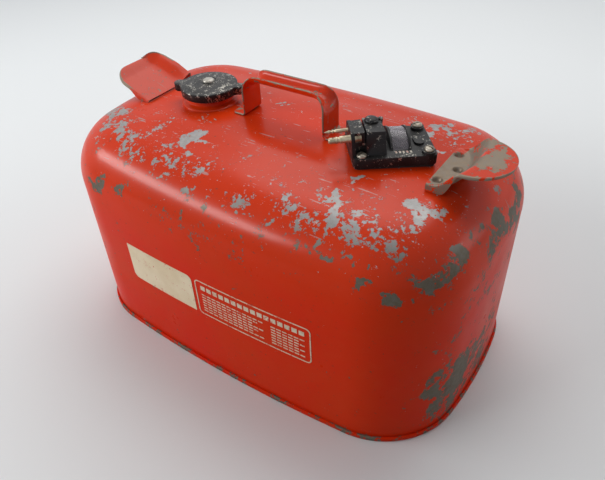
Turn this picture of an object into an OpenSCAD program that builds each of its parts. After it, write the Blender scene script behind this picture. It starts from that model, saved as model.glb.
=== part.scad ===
// Portable outboard fuel tank, about 23 litres: a drawn steel shell on a seamed base,
// a strap handle, two hose hooks, a quarter-turn filler cap, and a cast fuel outlet
// with a float gauge. Millimetres, +Z up. The origin is the centre of the base,
// and +X runs along the long side, from the filler cap towards the fuel outlet.

/* [Tank] */
// Length over the base seam
tank_l = 450; // [430:1:560]
// Width over the base seam
tank_w = 279; // [240:1:340]
// Height of the shoulder's upper edge above the ground
shoulder_h = 227; // [190:1:280]
// Radius of the shoulder
shoulder_r = 56; // [30:1:64]
// Rise of the crowned top above the shoulder's upper edge
crown_h = 5.5; // [2:0.5:9]
// Radius of the plan's corners
corner_r = 86; // [70:1:96]
// Radius of the bowed long sides
side_r = 1650; // [1200:10:2400]
// Radius of the bowed ends
end_r = 490; // [380:10:700]
// Thickness of the tank's sheet steel
sheet = 1; // [0.8:0.1:1.6]
// How far the base seam stands out from the wall
seam_out = 2.5; // [2:0.1:4]
// Height of the base seam
seam_h = 5.2; // [4.5:0.1:8]

/* [Carrying handle] */
// Offset of the handle from the middle of the tank
handle_x = 3.4; // [-10:0.1:10]
// Distance between the two legs
handle_span = 90.6; // [76:0.2:110]
// Width of the strap
strap_w = 27.3; // [22:0.1:34]
// Thickness of the strap
strap_t = 1.8; // [1.4:0.1:2.4]
// Height of the grip above the crown
grip_rise = 33.6; // [26:0.2:48]
// Radius of the upper bends
handle_bend_r = 14; // [10:0.5:20]
// Length of each welded foot
foot_l = 14; // [10:0.5:20]
// Half angle through which the grip's edges are rolled up
grip_roll = 84; // [30:1:88]

/* [Hose hooks] */
// Distance of the right hook's inner edge from the end of the tank
hook_inset = 65.5; // [58:0.5:80]
// How much further in the bent left hook stands
hook_drawn_in = 4; // [0:0.5:8]
// Width of the hooks
hook_w = 67; // [50:1:80]
// Length of the hooks
hook_l = 60; // [50:1:64]
// Height of the welded base above the shoulder's upper edge
hook_base_rise = 6.6; // [5:0.2:9]
// Height of the wing above the base
hook_wing_rise = 17; // [10:0.5:22]
// Thickness of the hook's sheet
hook_t = 1.8; // [1.4:0.1:2.4]

/* [Filler neck and cap] */
// Distance of the filler's middle from the handle's left leg
filler_off = 55.1; // [54:0.1:64]
// Outer radius of the filler neck
neck_r = 24; // [19:0.2:29]
// Height of the neck's rim above the shoulder's upper edge
neck_rise = 16; // [14:0.5:22]
// How far the cap's round body stands out round the neck
cap_overhang = 5; // [3.2:0.1:6]
// How far the cap's two finger lugs stand out from the body
cap_lug_out = 8.5; // [7:0.1:11]
// Width of the lugs
cap_lug_w = 11; // [9:0.5:14]
// Height of the cap's skirt
cap_skirt_h = 8.4; // [6:0.1:10]
// Turn of the cap's lugs away from the tank's length
cap_turn = 22; // [0:1:60]
// Travel of the cap when it is lifted off
cap_lift = 60; // [40:1:80]
// Radius of the cap's centre rivet
rivet_r = 2.5; // [2:0.1:3.5]

/* [Fuel outlet and gauge] */
// Distance of the outlet housing's middle from the handle's right leg
meter_off = 60.8; // [60:0.1:70]
// Turn of the housing about the upright axis
meter_turn = 40; // [30:1:50]
// Slope of the housing, which follows the crowned top
meter_tilt = 2.2; // [1.8:0.1:5]
// Length of the housing's base
base_l = 72; // [68:0.5:86.5]
// Width of the housing's base
base_w = 51; // [50:0.5:58]
// Thickness of the housing's base
base_t = 9; // [7:0.2:11]
// Distance from the housing's middle to its screws, along and across
screw_at = [28.9, 20.5];
// Radius of the housing screws' shanks
screw_r = 2.4; // [2:0.1:2.8]
// Radius of the clear window's arch
window_r = 22.5; // [20:0.5:24]
// Width of the clear window
window_w = 14; // [10:0.5:16]
// Radius of the fuel prong
fuel_prong_r = 3.15; // [2.8:0.05:3.6]
// Radius of the locating prong
locating_prong_r = 1.7; // [1.4:0.1:2.2]
// Distance between the two prongs
prong_spacing = 14.5; // [13:0.5:16]
// Length of the prongs outside the housing
prong_l = 19; // [16:0.5:24]
// Lean of the plate that carries the prongs
flange_lean = 4.7; // [0:0.1:6]

/* [Float and pickup] */
// Distance from the float's pivot to the float
float_arm_l = 178; // [140:1:184]
// Radius of the float
float_r = 16; // [12:0.5:17]
// Length of the float
float_l = 44; // [30:1:46]
// Swing of the float's arm to either side of its middle position
float_swing = 36; // [20:1:36]
// Radius of the float's pivot pin
pivot_r = 1.5; // [1.2:0.1:2]
// Radius of the pickup tube
pickup_r = 4; // [3:0.1:5]

/* [Clearances] */
// Radial clearance of a turning fit
running_gap = 0.05; // [0.02:0.01:0.1]
// Gap between pieces that are laid against each other
lay_gap = 0.1; // [0.05:0.05:0.3]

/* [Hidden] */
$fn = 48;
paint = "orangered";
black_paint = [0.10, 0.10, 0.11];
bare_steel = [0.60, 0.60, 0.58];
through = 1;

// Outline: bowed ends, round corners and bowed sides, as tangent arcs
end_x = tank_l / 2 - end_r;
side_y = tank_w / 2 - side_r;
end_reach = end_r - corner_r;
side_reach = side_r - corner_r;
centre_gap = norm([end_x, side_y]);
along = (end_reach * end_reach - side_reach * side_reach + centre_gap * centre_gap) / (2 * centre_gap);
across = sqrt(end_reach * end_reach - along * along);
toward = [-end_x, side_y] / centre_gap;
corner_at = [end_x, 0] + along * toward + across * [-toward.y, toward.x];
end_turn = atan2(corner_at.y, corner_at.x - end_x);
corner_turn = atan2(corner_at.y - side_y, corner_at.x);
end_steps = 2;
corner_steps = 11;
side_steps = 4;
shoulder_steps = 9;
crown_steps = 6;

function arc_2d(centre, r, from, to, steps) =
    [for (i = [0:steps - 1]) let (a = from + (to - from) * i / steps) centre + r * [cos(a), sin(a)]];

function quarter(inset) = concat(
    arc_2d([end_x, 0], end_r - inset, 0, end_turn, end_steps),
    arc_2d(corner_at, corner_r - inset, end_turn, corner_turn, corner_steps),
    arc_2d([0, side_y], side_r - inset, corner_turn, 90, side_steps),
    [[0, tank_w / 2 - inset]]);

function outline(inset) =
    let (q = quarter(inset), n = len(q) - 1)
    [for (k = [0:4 * n - 1])
        let (i = k % n, part = floor(k / n))
        part == 0 ? q[i]
        : part == 1 ? [-q[n - i].x, q[n - i].y]
        : part == 2 ? -q[i]
        : [q[n - i].x, -q[n - i].y]];

ring_n = 4 * (end_steps + corner_steps + side_steps);
top_inset = seam_out + shoulder_r;

function crown_z(s) = shoulder_h + crown_h * pow(1 - pow(s, 4), 2);
function ring(inset, z, s = 1) = [for (p = outline(inset)) [p.x * s, p.y * s, z]];

// Height of the crowned top at a point
crown_half = [tank_l / 2 - top_inset, tank_w / 2 - top_inset];
function top_z(x, y) = crown_z(min(1, norm([x / crown_half.x, y / crown_half.y])));
// The same along the middle, as the bands of the drawn form have it
function band_z(x) = let (s = min(1, x / crown_half.x) * crown_steps, k = floor(s), t = s - k)
    (1 - t) * crown_z(k / crown_steps) + t * crown_z((k + 1) / crown_steps);

// Shoulder and crown of the drawn form, set in by a sheet's thickness or swollen
function upper_rings(inset) = concat(
    [for (i = [0:shoulder_steps])
        let (a = 90 * i / shoulder_steps, r = shoulder_r - inset)
        ring(top_inset - r * cos(a), shoulder_h - shoulder_r + r * sin(a))],
    [for (i = [1:crown_steps - 1])
        let (s = 1 - i / crown_steps)
        ring(top_inset, crown_z(s) - inset, s)]);

function flat(rings) = [for (r = rings) for (p = r) p];

// Bands of triangles between rings of n points, wound to face outwards
function bands(count, n, start = 0) = [for (i = [0:count - 2]) for (k = [0:n - 1])
    let (a = start + i * n + k, b = start + i * n + (k + 1) % n)
    each [[a, a + n, b + n], [a, b + n, b]]];
function reversed(faces) = [for (f = faces) [f[0], f[2], f[1]]];
function fan(first, n, apex) = [for (k = [0:n - 1]) [first + (k + 1) % n, first + k, apex]];

// A solid skinned over closed loops that are each a row out and a row back
module skin(loops) {
    n = len(loops[0]);
    last = (len(loops) - 1) * n;
    half = n / 2;
    polyhedron(points = flat(loops), faces = concat(
        bands(len(loops), n),
        [for (k = [0:half - 2]) each [[k, k + 1, n - 2 - k], [k, n - 2 - k, n - 1 - k]]],
        [for (k = [0:half - 2]) each [[last + k, last + n - 2 - k, last + k + 1],
                                      [last + k, last + n - 1 - k, last + n - 2 - k]]]),
        convexity = 8);
}

// The whole drawn form as one solid, swollen by a gap, to cut what sits on the tank
module tank_form(swell) {
    rings = concat([ring(seam_out - swell, shoulder_h - shoulder_r - 40)], upper_rings(-swell));
    count = len(rings);
    polyhedron(points = concat(flat(rings), [[0, 0, crown_z(0) + swell]]), faces = concat(
        [[for (k = [0:ring_n - 1]) k]],
        bands(count, ring_n),
        fan((count - 1) * ring_n, ring_n, count * ring_n)), convexity = 4);
}

// Seam at the base: the shell's flange is folded into the pan's rim
flange_z = seam_h - 2;
flange_in = 1;

module tank_skin() {
    outer = concat([ring(flange_in, flange_z), ring(flange_in, flange_z + sheet),
                    ring(seam_out, flange_z + sheet)], upper_rings(0));
    inner = concat([ring(seam_out + sheet, flange_z)], upper_rings(sheet));
    outer_n = len(outer) * ring_n;
    inner_n = len(inner) * ring_n;
    start = outer_n + 1;
    polyhedron(points = concat(flat(outer), [[0, 0, crown_z(0)]], flat(inner), [[0, 0, crown_z(0) - sheet]]),
        faces = concat(
            bands(len(outer), ring_n),
            fan(outer_n - ring_n, ring_n, outer_n),
            reversed(bands(len(inner), ring_n, start)),
            reversed(fan(start + inner_n - ring_n, ring_n, start + inner_n)),
            [for (k = [0:ring_n - 1])
                let (next = (k + 1) % ring_n)
                each [[k, next, start + next], [k, start + next, start + k]]]),
        convexity = 6);
}

filler_hole_r = neck_r + lay_gap;

module tank_shell() {
    color(paint) difference() {
        tank_skin();
        at_filler(crown_z(1) - 20) cylinder(r = filler_hole_r, h = 60);
        at_meter(-30) cylinder(r = meter_hole_r, h = 60);
        at_meter(-30) screw_places() cylinder(r = screw_r + 0.6, h = 60);
    }
}

floor_z = seam_h + 0.8;
pan_inset = seam_out + sheet + lay_gap;
bead_w = 14;

module seam_ring(z, h, outer_inset, inner_inset) {
    translate([0, 0, z]) linear_extrude(h) difference() {
        polygon(outline(outer_inset));
        polygon(outline(inner_inset));
    }
}

module bottom_pan() {
    lip_gap = lay_gap;
    well = pan_inset + sheet;
    color(paint) {
        union() {
            seam_ring(0, flange_z - lip_gap, 0, well);
            seam_ring(flange_z - lip_gap, sheet + 2 * lip_gap, 0, flange_in - lip_gap);
            seam_ring(flange_z + sheet + lip_gap, seam_h - flange_z - sheet - lip_gap, 0, seam_out - lip_gap);
            seam_ring(flange_z - lip_gap, floor_z - flange_z + lip_gap, pan_inset, well);
            translate([0, 0, floor_z]) linear_extrude(sheet) polygon(outline(pan_inset));
            pan_bead();
        }
    }
}

// Stiffening bead pressed into the floor
module pan_bead() {
    inset = 46;
    seam_ring(floor_z + sheet / 2, sheet, inset, inset + bead_w);
}

// Places along the top, each worked out from the handle
filler_x = handle_span / 2 - handle_x + filler_off;
meter_x = handle_span / 2 + handle_x + meter_off;
hook_gap = 4;
meter_reach = base_l / 2 * cos(meter_turn) + base_w / 2 * sin(meter_turn);

// Strap handle: one strip swept along feet, legs and grip, its edges rolled up over the grip
strap_half = strap_w / 2;
foot_z = top_z(handle_x + handle_span / 2, 0) + strap_t / 2 + lay_gap;
grip_z = crown_z(0) + grip_rise;
foot_bend_r = 3;
leg_x = handle_span / 2;
roll_rest = 0.6;

function turn(centre, r, from, to, steps, heading, roll_from, roll_to) =
    [for (i = [0:steps])
        let (t = i / steps, a = from + (to - from) * t)
        [centre.x + r * cos(a), centre.y + r * sin(a), heading + (to - from) * t,
         roll_from + (roll_to - roll_from) * t * t * (3 - 2 * t)]];

function handle_half_path() = concat(
    [[-leg_x - foot_l, foot_z, 0, roll_rest]],
    turn([-leg_x - foot_bend_r, foot_z + foot_bend_r], foot_bend_r, -90, 0, 4, 0, roll_rest, roll_rest),
    turn([-leg_x + handle_bend_r, grip_z - handle_bend_r], handle_bend_r, 180, 90, 8, 90,
         roll_rest, grip_roll * 0.94),
    [[-leg_x + handle_bend_r + 4, grip_z, 0, grip_roll]]);

function mirrored(path) = [for (i = [len(path) - 1:-1:0])
    [-path[i][0], path[i][1], -path[i][2], path[i][3]]];

// One loop of the strap: rolled through twice the angle roll, square to the heading
function strap_loop(at, steps = 8) =
    let (x = at[0], z = at[1], up = at[2] + 90, roll = at[3],
         r = strap_half / (roll * PI / 180),
         side = function (k, off) let (phi = roll * (2 * k / steps - 1), y = (r - off) * sin(phi),
                                       h = r - (r - off) * cos(phi))
             [x + h * cos(up), y, z + h * sin(up)])
    concat([for (k = [0:steps]) side(k, strap_t / 2)], [for (k = [steps:-1:0]) side(k, -strap_t / 2)]);

module carry_handle() {
    half = handle_half_path();
    color(paint) translate([handle_x, 0, 0])
        skin([for (at = concat(half, mirrored(half))) strap_loop(at)]);
}

// Hose hooks: sheet whose sides are turned down to the tank along the inner part. The right
// one has a flat base with three weld cups, and its wing rises round the base in a curved
// ramp. The left one is bent: it slopes up all the way out, and its far side is bent higher.
hook_base_z = shoulder_h + hook_base_rise;
hook_half = hook_w / 2;
ramp_from = 17.5;
ramp_length = 13.5;
side_from = 12;
side_fade = 14;
weld_at = [[5.5, -22.5], [5.5, 22.5], [14, 0]];

right_hook_x = max(tank_l / 2 - hook_inset, meter_x + meter_reach + hook_gap);
cap_reach = neck_r + cap_overhang + cap_lug_out;
left_hook_x = max(tank_l / 2 - hook_inset - hook_drawn_in, filler_x + cap_reach + hook_gap);

right_foot_z = band_z(right_hook_x) + lay_gap;
left_foot_z = band_z(left_hook_x) + lay_gap;

function ease(t) = let (c = max(0, min(1, t))) c * c * (3 - 2 * c);
right_top = function (u, v) hook_base_z + hook_wing_rise
    * ease((norm([u - 2, 0.566 * v]) - ramp_from) / ramp_length);

bent_rise = 2.6;
bent_slope = 0.34;
bent_side = 8.5;
bent_lip = 2.5;
bent_l = 0.85 * hook_l;
bent_corner = 19;
left_top = function (u, v) shoulder_h + bent_rise + bent_slope * u
    + bent_side * ease((v - 10) / 24) * (0.75 + 0.25 * ease(u / 20))
    + bent_lip * ease((u - bent_l + 14) / 14);

// How deep the turned-down side reaches at a station along the hook
function hook_side(u, high) = let (t = ease((u - side_from) / side_fade)) high * (1 - t) + (hook_t + 0.4) * t;

// Stations along a hook, each with its half width, up to the round outer corners
function stations(straight, l, corner) = concat(
    [for (u = straight) [u, hook_half]],
    [for (a = [0:12:84]) [l - corner + corner * sin(a), hook_half - 1 - corner + corner * cos(a)]]);

function hook_loop(u, half, top_at, foot_z, steps = 8) =
    let (fold = min(1.2, half / 8),
         left = top_at(u, half), right = top_at(u, -half),
         left_deep = hook_side(u, left - foot_z), right_deep = hook_side(u, right - foot_z),
         top = [for (k = [0:steps]) let (v = (half - fold) * (1 - 2 * k / steps)) [u, v, top_at(u, v)]],
         under = [for (k = [steps:-1:0])
             let (v = (half - hook_t) * (1 - 2 * k / steps)) [u, v, top_at(u, v) - hook_t]])
    concat(
        [[u, half, left - left_deep], [u, half, left - fold]],
        top,
        [[u, -half, right - fold], [u, -half, right - right_deep]],
        [[u, -half + hook_t, right - right_deep], [u, -half + hook_t, right - hook_t - 0.2]],
        [for (k = [1:len(under) - 2]) under[k]],
        [[u, half - hook_t, left - hook_t - 0.2], [u, half - hook_t, left - left_deep]]);

module right_hose_hook() {
    depth = hook_base_z - right_foot_z;
    color(paint) translate([right_hook_x, 0, 0]) difference() {
        union() {
            skin([for (s = stations([0, 4, 8, 12, 15, 18, 21, 24], hook_l, hook_half - 1.5))
                hook_loop(s[0], s[1], right_top, right_foot_z)]);
            for (c = weld_at) translate([c.x, c.y, right_foot_z])
                cylinder(r1 = 3.2, r2 = 6, h = depth - hook_t / 2);
        }
        for (c = weld_at) translate([c.x, c.y, right_foot_z + hook_t])
            cylinder(r1 = 1.6, r2 = 4.6, h = depth - hook_t + through);
    }
}

module left_hose_hook() {
    color(paint) mirror([1, 0, 0]) translate([left_hook_x, 0, 0]) {
        skin([for (s = stations([0, 5, 10, 15, 20, 26], bent_l, bent_corner))
            hook_loop(s[0], s[1], left_top, left_foot_z)]);
        for (c = weld_at) translate([c.x, c.y, left_foot_z])
            cylinder(r = 3.2, h = left_top(c.x, c.y) - left_foot_z - hook_t / 2);
    }
}

// Filler neck: a short tube whose rim is turned inwards, with two notches for the cap's bar
module at_filler(z) {
    translate([-filler_x, 0, z]) children();
}

neck_wall = 1.2;
rim_z = shoulder_h + neck_rise;
mouth_r = neck_r - 6;
bar_w = 12;
bar_reach = neck_r - 2.6;
notch_gap = 0.7;
bead_r = neck_r + 5.5;

module filler_neck() {
    neck_foot = crown_z(1) - 4;
    bead_z = top_z(-filler_x, 0) + 2.2;
    color(paint) {
        difference() {
            union() {
                at_filler(0) rotate_extrude() polygon([[neck_r - neck_wall, neck_foot], [neck_r, neck_foot],
                    [neck_r, rim_z], [mouth_r, rim_z], [mouth_r, rim_z - neck_wall],
                    [neck_r - neck_wall, rim_z - neck_wall]]);
                difference() {
                    at_filler(0) rotate_extrude() polygon([[neck_r - neck_wall / 2, crown_z(1) - 1],
                        [bead_r, crown_z(1) - 1], [bead_r, bead_z - 1.2], [bead_r - 1.2, bead_z],
                        [neck_r + 1.2, bead_z + 0.6], [neck_r - neck_wall / 2, bead_z + 2.2]]);
                    tank_form(lay_gap);
                }
            }
            at_filler(rim_z - neck_wall - through) rotate(cap_turn)
                cube_centred(2 * (bar_reach + notch_gap), bar_w + 2 * notch_gap, neck_wall + 2 * through);
        }
    }
}

module cube_centred(l, w, h) {
    translate([-l / 2, -w / 2, 0]) cube([l, w, h]);
}

// Filler cap
gasket_t = 2;
disc_t = 0.8;
cap_sheet = 1.2;
gasket_z = rim_z + lay_gap;
disc_z = gasket_z + gasket_t + lay_gap / 2;
plate_z = disc_z + disc_t + 3.5;
cap_top_z = plate_z + cap_sheet;
bar_z = rim_z - neck_wall - 1.4 - 1.8;
bar_t = 1.8;
cap_edge = 0.8;
cap_r = neck_r + cap_overhang;
rim_drop = 1.2;
dome_rise = 0.7;
lug_end = cap_lug_w / 2;
lug_x = cap_r + cap_lug_out - lug_end;
fillet_r = 4;
fillet_y = lug_end + fillet_r;
fillet_x = sqrt(pow(cap_r + fillet_r, 2) - fillet_y * fillet_y);

// The cap's plan, set in: a round body, two lugs and the fillets between them
module cap_outline(inset) {
    circle(r = cap_r - inset, $fn = 96);
    for (side = [0, 1]) mirror([side, 0]) {
        translate([lug_x, 0]) circle(r = lug_end - inset);
        translate([0, inset - lug_end]) square([lug_x, cap_lug_w - 2 * inset]);
        difference() {
            polygon([[0, 0], [fillet_x, -fillet_y], [fillet_x, fillet_y]]);
            for (end = [-1, 1]) translate([fillet_x, end * fillet_y]) circle(r = fillet_r + inset);
        }
    }
}

module at_cap(z) {
    at_filler(z) rotate(cap_turn) children();
}

module cap_shell() {
    edge_z = cap_top_z - rim_drop;
    skirt_z = edge_z - cap_skirt_h;
    color(black_paint) difference() {
        union() {
            at_cap(skirt_z) linear_extrude(cap_skirt_h - cap_edge) cap_outline(0);
            at_cap(edge_z - cap_edge) linear_extrude(cap_edge / 2) cap_outline(0.25);
            at_cap(edge_z - cap_edge / 2) linear_extrude(cap_edge / 2) cap_outline(0.8);
            at_cap(edge_z) rotate_extrude($fn = 96) polygon([[0, 0], [cap_r - 1.2, 0], [cap_r - 4, 0.35],
                [cap_r - 8, rim_drop], [12, rim_drop + dome_rise], [0, rim_drop + dome_rise]]);
        }
        at_cap(skirt_z - through) linear_extrude(plate_z - rim_drop - skirt_z + through)
            cap_outline(cap_sheet);
        at_cap(plate_z - rim_drop) cylinder(r1 = cap_r - 5, r2 = cap_r - 9, h = rim_drop);
        at_cap(skirt_z - through) cylinder(r = rivet_r + lay_gap, h = cap_skirt_h + 4);
        at_cap(cap_top_z + 0.2) difference() {
            cylinder(r = 9.2, h = 2);
            translate([0, 0, -through]) cylinder(r = 6.2, h = 4);
        }
    }
}

module cap_rivet() {
    head_z = cap_top_z + dome_rise;
    color(bare_steel) at_cap(0) rotate_extrude() polygon([
        [0, bar_z - 1], [rivet_r + 1.4, bar_z - 1], [rivet_r + 1.8, bar_z - lay_gap / 2],
        [rivet_r, bar_z - lay_gap / 2], [rivet_r, head_z + lay_gap / 2],
        [5.8, head_z + lay_gap / 2], [5.8, head_z + 1.6], [5, head_z + 2.3], [0, head_z + 2.7]]);
}

module cap_locking_bar() {
    color(bare_steel) difference() {
        intersection() {
            at_cap(bar_z) cube_centred(2 * bar_reach, bar_w, bar_t);
            at_cap(bar_z - through) cylinder(r = bar_reach, h = bar_t + 2 * through);
        }
        at_cap(bar_z - through) cylinder(r = rivet_r + lay_gap / 2, h = bar_t + 2 * through);
    }
}

module cap_spring() {
    low = disc_z + disc_t + lay_gap / 2;
    high = plate_z - lay_gap / 2;
    thick = 0.8;
    color(bare_steel) at_cap(0) rotate_extrude() polygon([
        [14, low], [14, low + thick], [5, high], [5, high - thick]]);
}

module cap_pressure_disc() {
    color(bare_steel) at_cap(disc_z) difference() {
        cylinder(r = neck_r + 0.6, h = disc_t);
        translate([0, 0, -through]) cylinder(r = rivet_r + running_gap, h = disc_t + 2 * through);
    }
}

module cap_gasket() {
    color([0.16, 0.15, 0.14]) at_cap(gasket_z) difference() {
        cylinder(r = neck_r + 0.4, h = gasket_t);
        translate([0, 0, -through]) cylinder(r = mouth_r - 2, h = gasket_t + 2 * through);
    }
}

// Fuel outlet and gauge, in the housing's own frame: +X away from the prongs, origin at the
// middle of the base's underside
meter_lift = 1.6;
meter_z = top_z(meter_x, 0) + meter_lift;

module at_meter(z) {
    translate([meter_x, 0, meter_z]) rotate([0, meter_tilt, 0]) rotate(meter_turn)
        translate([0, 0, z]) children();
}

module screw_places() {
    for (sx = [-1, 1]) for (sy = [-1, 1]) translate([sx * screw_at.x, sy * screw_at.y, 0]) children();
}

// Points of a rectangle with round corners
function rounded(l, w, r, steps = 5) = [for (q = [0:3])
    let (cx = (q == 0 || q == 3 ? 1 : -1) * (l / 2 - r), cy = (q < 2 ? 1 : -1) * (w / 2 - r))
    for (i = [0:steps]) [cx + r * cos(90 * (q + i / steps)), cy + r * sin(90 * (q + i / steps))]];

// Sizes that the housing's inner pieces share: the tank's opening lets the bracket through
tab_l = 7;
bracket_leg_w = 6;
window_at = [6.5, 4.5];
meter_hole_r = norm([window_at.x + window_w / 2 + tab_l + 0.6, window_at.y + bracket_leg_w / 2]) + 0.6;
pivot_depth = window_r - base_t - 9.3;
pivot_z = -pivot_depth;
lens_t = 1.5;
slot_l = 34;
boss_r = 6;
boss_rise = 2.6;
screw_head_r = 4.4;
block_x = [-25, -6];
block_y = [-21, 7];
block_top = 30;
flange_x = -base_l / 2;
flange_t = 3;
flange_y = [-21, 8];
prong_z = 22.9;
prong_y = [-13.5, -13.5 + prong_spacing];
pickup_at = [-16, -8];
gasket_low = 6;

module meter_mounting_ring() {
    ring_t = 3;
    ring_z = -meter_lift - sheet - 2.2 - ring_t;
    color(bare_steel) at_meter(ring_z) difference() {
        linear_extrude(ring_t) polygon(rounded(base_l - 2, base_w - 1, 6));
        translate([0, 0, -through]) cylinder(r = meter_hole_r, h = ring_t + 2 * through);
        translate([0, 0, -through]) screw_places()
            cylinder(r = screw_r + running_gap, h = ring_t + 2 * through);
    }
}

// The gasket keeps a land all round the hole, however wide the window makes it
module meter_gasket() {
    gasket_land = 1.2;
    gasket_h = gasket_low - lay_gap / 2;
    color([0.12, 0.12, 0.12]) difference() {
        at_meter(-gasket_low) {
            linear_extrude(gasket_h) polygon(rounded(base_l - 2.4, base_w - 2.4, 3));
            cylinder(r = meter_hole_r + gasket_land, h = gasket_h);
        }
        tank_form(lay_gap);
        at_meter(-gasket_low - through) cylinder(r = meter_hole_r, h = gasket_low + 2 * through);
        at_meter(-gasket_low - through) screw_places()
            cylinder(r = screw_r + 0.6, h = gasket_low + 2 * through);
    }
}

module arch(r, x, w) {
    translate([window_at.x + x, window_at.y, pivot_z]) rotate([0, 90, 0]) cylinder(r = r, h = w, $fn = 96);
}

// The part of an arch that stands above the base
module above_base(extra = 0) {
    intersection() {
        children();
        translate([-base_l / 2, -base_w / 2, base_t + extra]) cube([base_l, base_w, 40]);
    }
}

module housing_casting() {
    cheek = 1.9;
    linear_extrude(base_t) polygon(rounded(base_l, base_w, 3.5));
    for (side = [-1, 1]) translate([screw_at.x, side * screw_at.y, 0])
        cylinder(r = boss_r, h = base_t + boss_rise);
    above_base(-0.5) arch(window_r + 0.8, -window_w / 2 - lay_gap - cheek, cheek);
    above_base(-0.5) arch(window_r + 0.8, window_w / 2 + lay_gap, cheek);
    outlet_block();
    translate([plug_at.x + 8.4, plug_at.y + 2.2, 0]) cylinder(r = 2, h = block_top + 1.4);
    at_flange() outlet_flange();
    translate([24.5, -1.5, 0]) linear_extrude(base_t + 2) polygon(rounded(9, 14, 4.2));
}

// Block over the passages: drafted faces, and a set-back part that reaches the flange
module outlet_block() {
    draft = 3.5;
    back_y = -16;
    neck_top = 28.5;
    intersection() {
        translate([block_x[0], 0, 0]) rotate([90, 0, 90]) linear_extrude(block_x[1] - block_x[0])
            polygon([[block_y[0], 0], [block_y[1], 0],
                [block_y[1], block_top], [block_y[0] + draft, block_top]]);
        translate([0, block_y[1], 0]) rotate([90, 0, 0]) linear_extrude(block_y[1] - block_y[0])
            polygon([[block_x[0], 0], [block_x[1], 0],
                [block_x[1] - draft, block_top], [block_x[0], block_top]]);
    }
    at_flange() translate([1, back_y, 0]) cube([block_x[0] - flange_x, block_y[1] - back_y - 1, neck_top]);
}

// The flange's own frame: +X into the housing, the outer face at 0, leaning outwards
module at_flange() {
    translate([flange_x, 0, 0]) rotate([0, -flange_lean, 0]) children();
}

// Upright plate that carries the two prongs, with round shoulders
module outlet_flange() {
    w = flange_y[1] - flange_y[0];
    shoulder = 7;
    top = block_top + 1;
    translate([0, flange_y[0], 0]) rotate([90, 0, 90]) linear_extrude(flange_t) polygon(concat(
        [[0, 3], [w, 3]],
        [for (a = [0:15:90]) [w - shoulder + shoulder * cos(a), top - shoulder + shoulder * sin(a)]],
        [for (a = [90:15:180]) [shoulder + shoulder * cos(a), top - shoulder + shoulder * sin(a)]]));
}

prong_seat = 9;
shank_out = 0.8;

module housing_passages() {
    duct_r = 2;
    translate([pickup_at.x, pickup_at.y, -through]) cylinder(r = pickup_r + lay_gap / 2, h = 12 + through);
    translate([pickup_at.x, pickup_at.y, 0]) cylinder(r = 2.5, h = prong_z + duct_r + 0.7);
    translate([pickup_at.x, pickup_at.y, prong_z]) rotate([90, 0, 0])
        cylinder(r = duct_r, h = pickup_at.y - prong_y[0]);
    at_flange() for (i = [0, 1]) translate([-through, prong_y[i], prong_z]) rotate([0, 90, 0])
        cylinder(r = prong_r(i) + shank_out + lay_gap / 2, h = prong_seat + through);
    at_flange() translate([0, prong_y[0], prong_z]) rotate([0, 90, 0])
        cylinder(r = duct_r, h = pickup_at.x - flange_x);
    translate([plug_at.x, plug_at.y, block_top - plug_seat])
        cylinder(r = plug_r + lay_gap / 2, h = plug_seat + through);
}

module meter_housing() {
    color(black_paint) at_meter(0) difference() {
        housing_casting();
        translate([window_at.x, window_at.y, -through]) cube_centred(window_w, slot_l, base_t + 2 * through);
        above_base(-2) arch(window_r + lay_gap, -window_w / 2 - lay_gap, window_w + 2 * lay_gap);
        translate([0, 0, -through]) screw_places()
            cylinder(r = screw_r + 0.1, h = base_t + boss_rise + 2 * through);
        for (place = screw_list) translate([place.x, place.y, screw_seat(place)])
            cylinder(r = screw_head_r + 0.6, h = 5);
        housing_passages();
        for (side = [-1, 1]) bracket_screw_at(side, -through)
            cylinder(r = bracket_screw_r + lay_gap / 2, h = 5 + through);
    }
}

// Plug with a low dome that closes the casting's upright passage
plug_at = [-17.8, 1.2];
plug_r = 4;
plug_seat = 5;

module housing_plug() {
    color(black_paint) at_meter(block_top) translate([plug_at.x, plug_at.y, 0]) rotate_extrude() polygon([
        [0, lay_gap - plug_seat], [plug_r, lay_gap - plug_seat], [plug_r, lay_gap / 2], [6, lay_gap / 2],
        [6, 1.2], [5.2, 2.6], [3, 3.6], [0, 3.9]]);
}

// The two screws beside the window stand on bosses, the other two on the plain base
screw_list = [for (sx = [-1, 1]) for (sy = [-1, 1]) [sx * screw_at.x, sy * screw_at.y]];
function screw_seat(place) = base_t + (place.x > 0 ? boss_rise : 0);

module housing_screws() {
    color([0.66, 0.60, 0.44]) at_meter(0) for (place = screw_list) {
        head_z = screw_seat(place) + lay_gap / 2;
        translate([place.x, place.y, 0]) difference() {
            union() {
                translate([0, 0, -10]) cylinder(r = screw_r, h = head_z + 10.5);
                translate([0, 0, head_z]) rotate_extrude() polygon([[0, 0], [screw_head_r, 0],
                    [screw_head_r, 1.5], [screw_head_r - 1, 2.8], [0, 3.2]]);
            }
            translate([-5, -0.5, head_z + 1.8]) cube([10, 1, 4]);
        }
    }
}

module gauge_lens() {
    color([0.85, 0.88, 0.88, 0.5]) at_meter(0) above_base(lay_gap / 2) difference() {
        arch(window_r, -window_w / 2, window_w);
        arch(window_r - lens_t, -window_w / 2 - through, window_w + 2 * through);
    }
}

// A prong that points away from the housing, turned from bar, its thicker shank in the casting
function prong_r(i) = i == 0 ? fuel_prong_r : locating_prong_r;

module prong(i) {
    at_meter(0) at_flange() translate([prong_seat, prong_y[i], prong_z]) rotate([0, -90, 0]) children();
}

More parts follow.
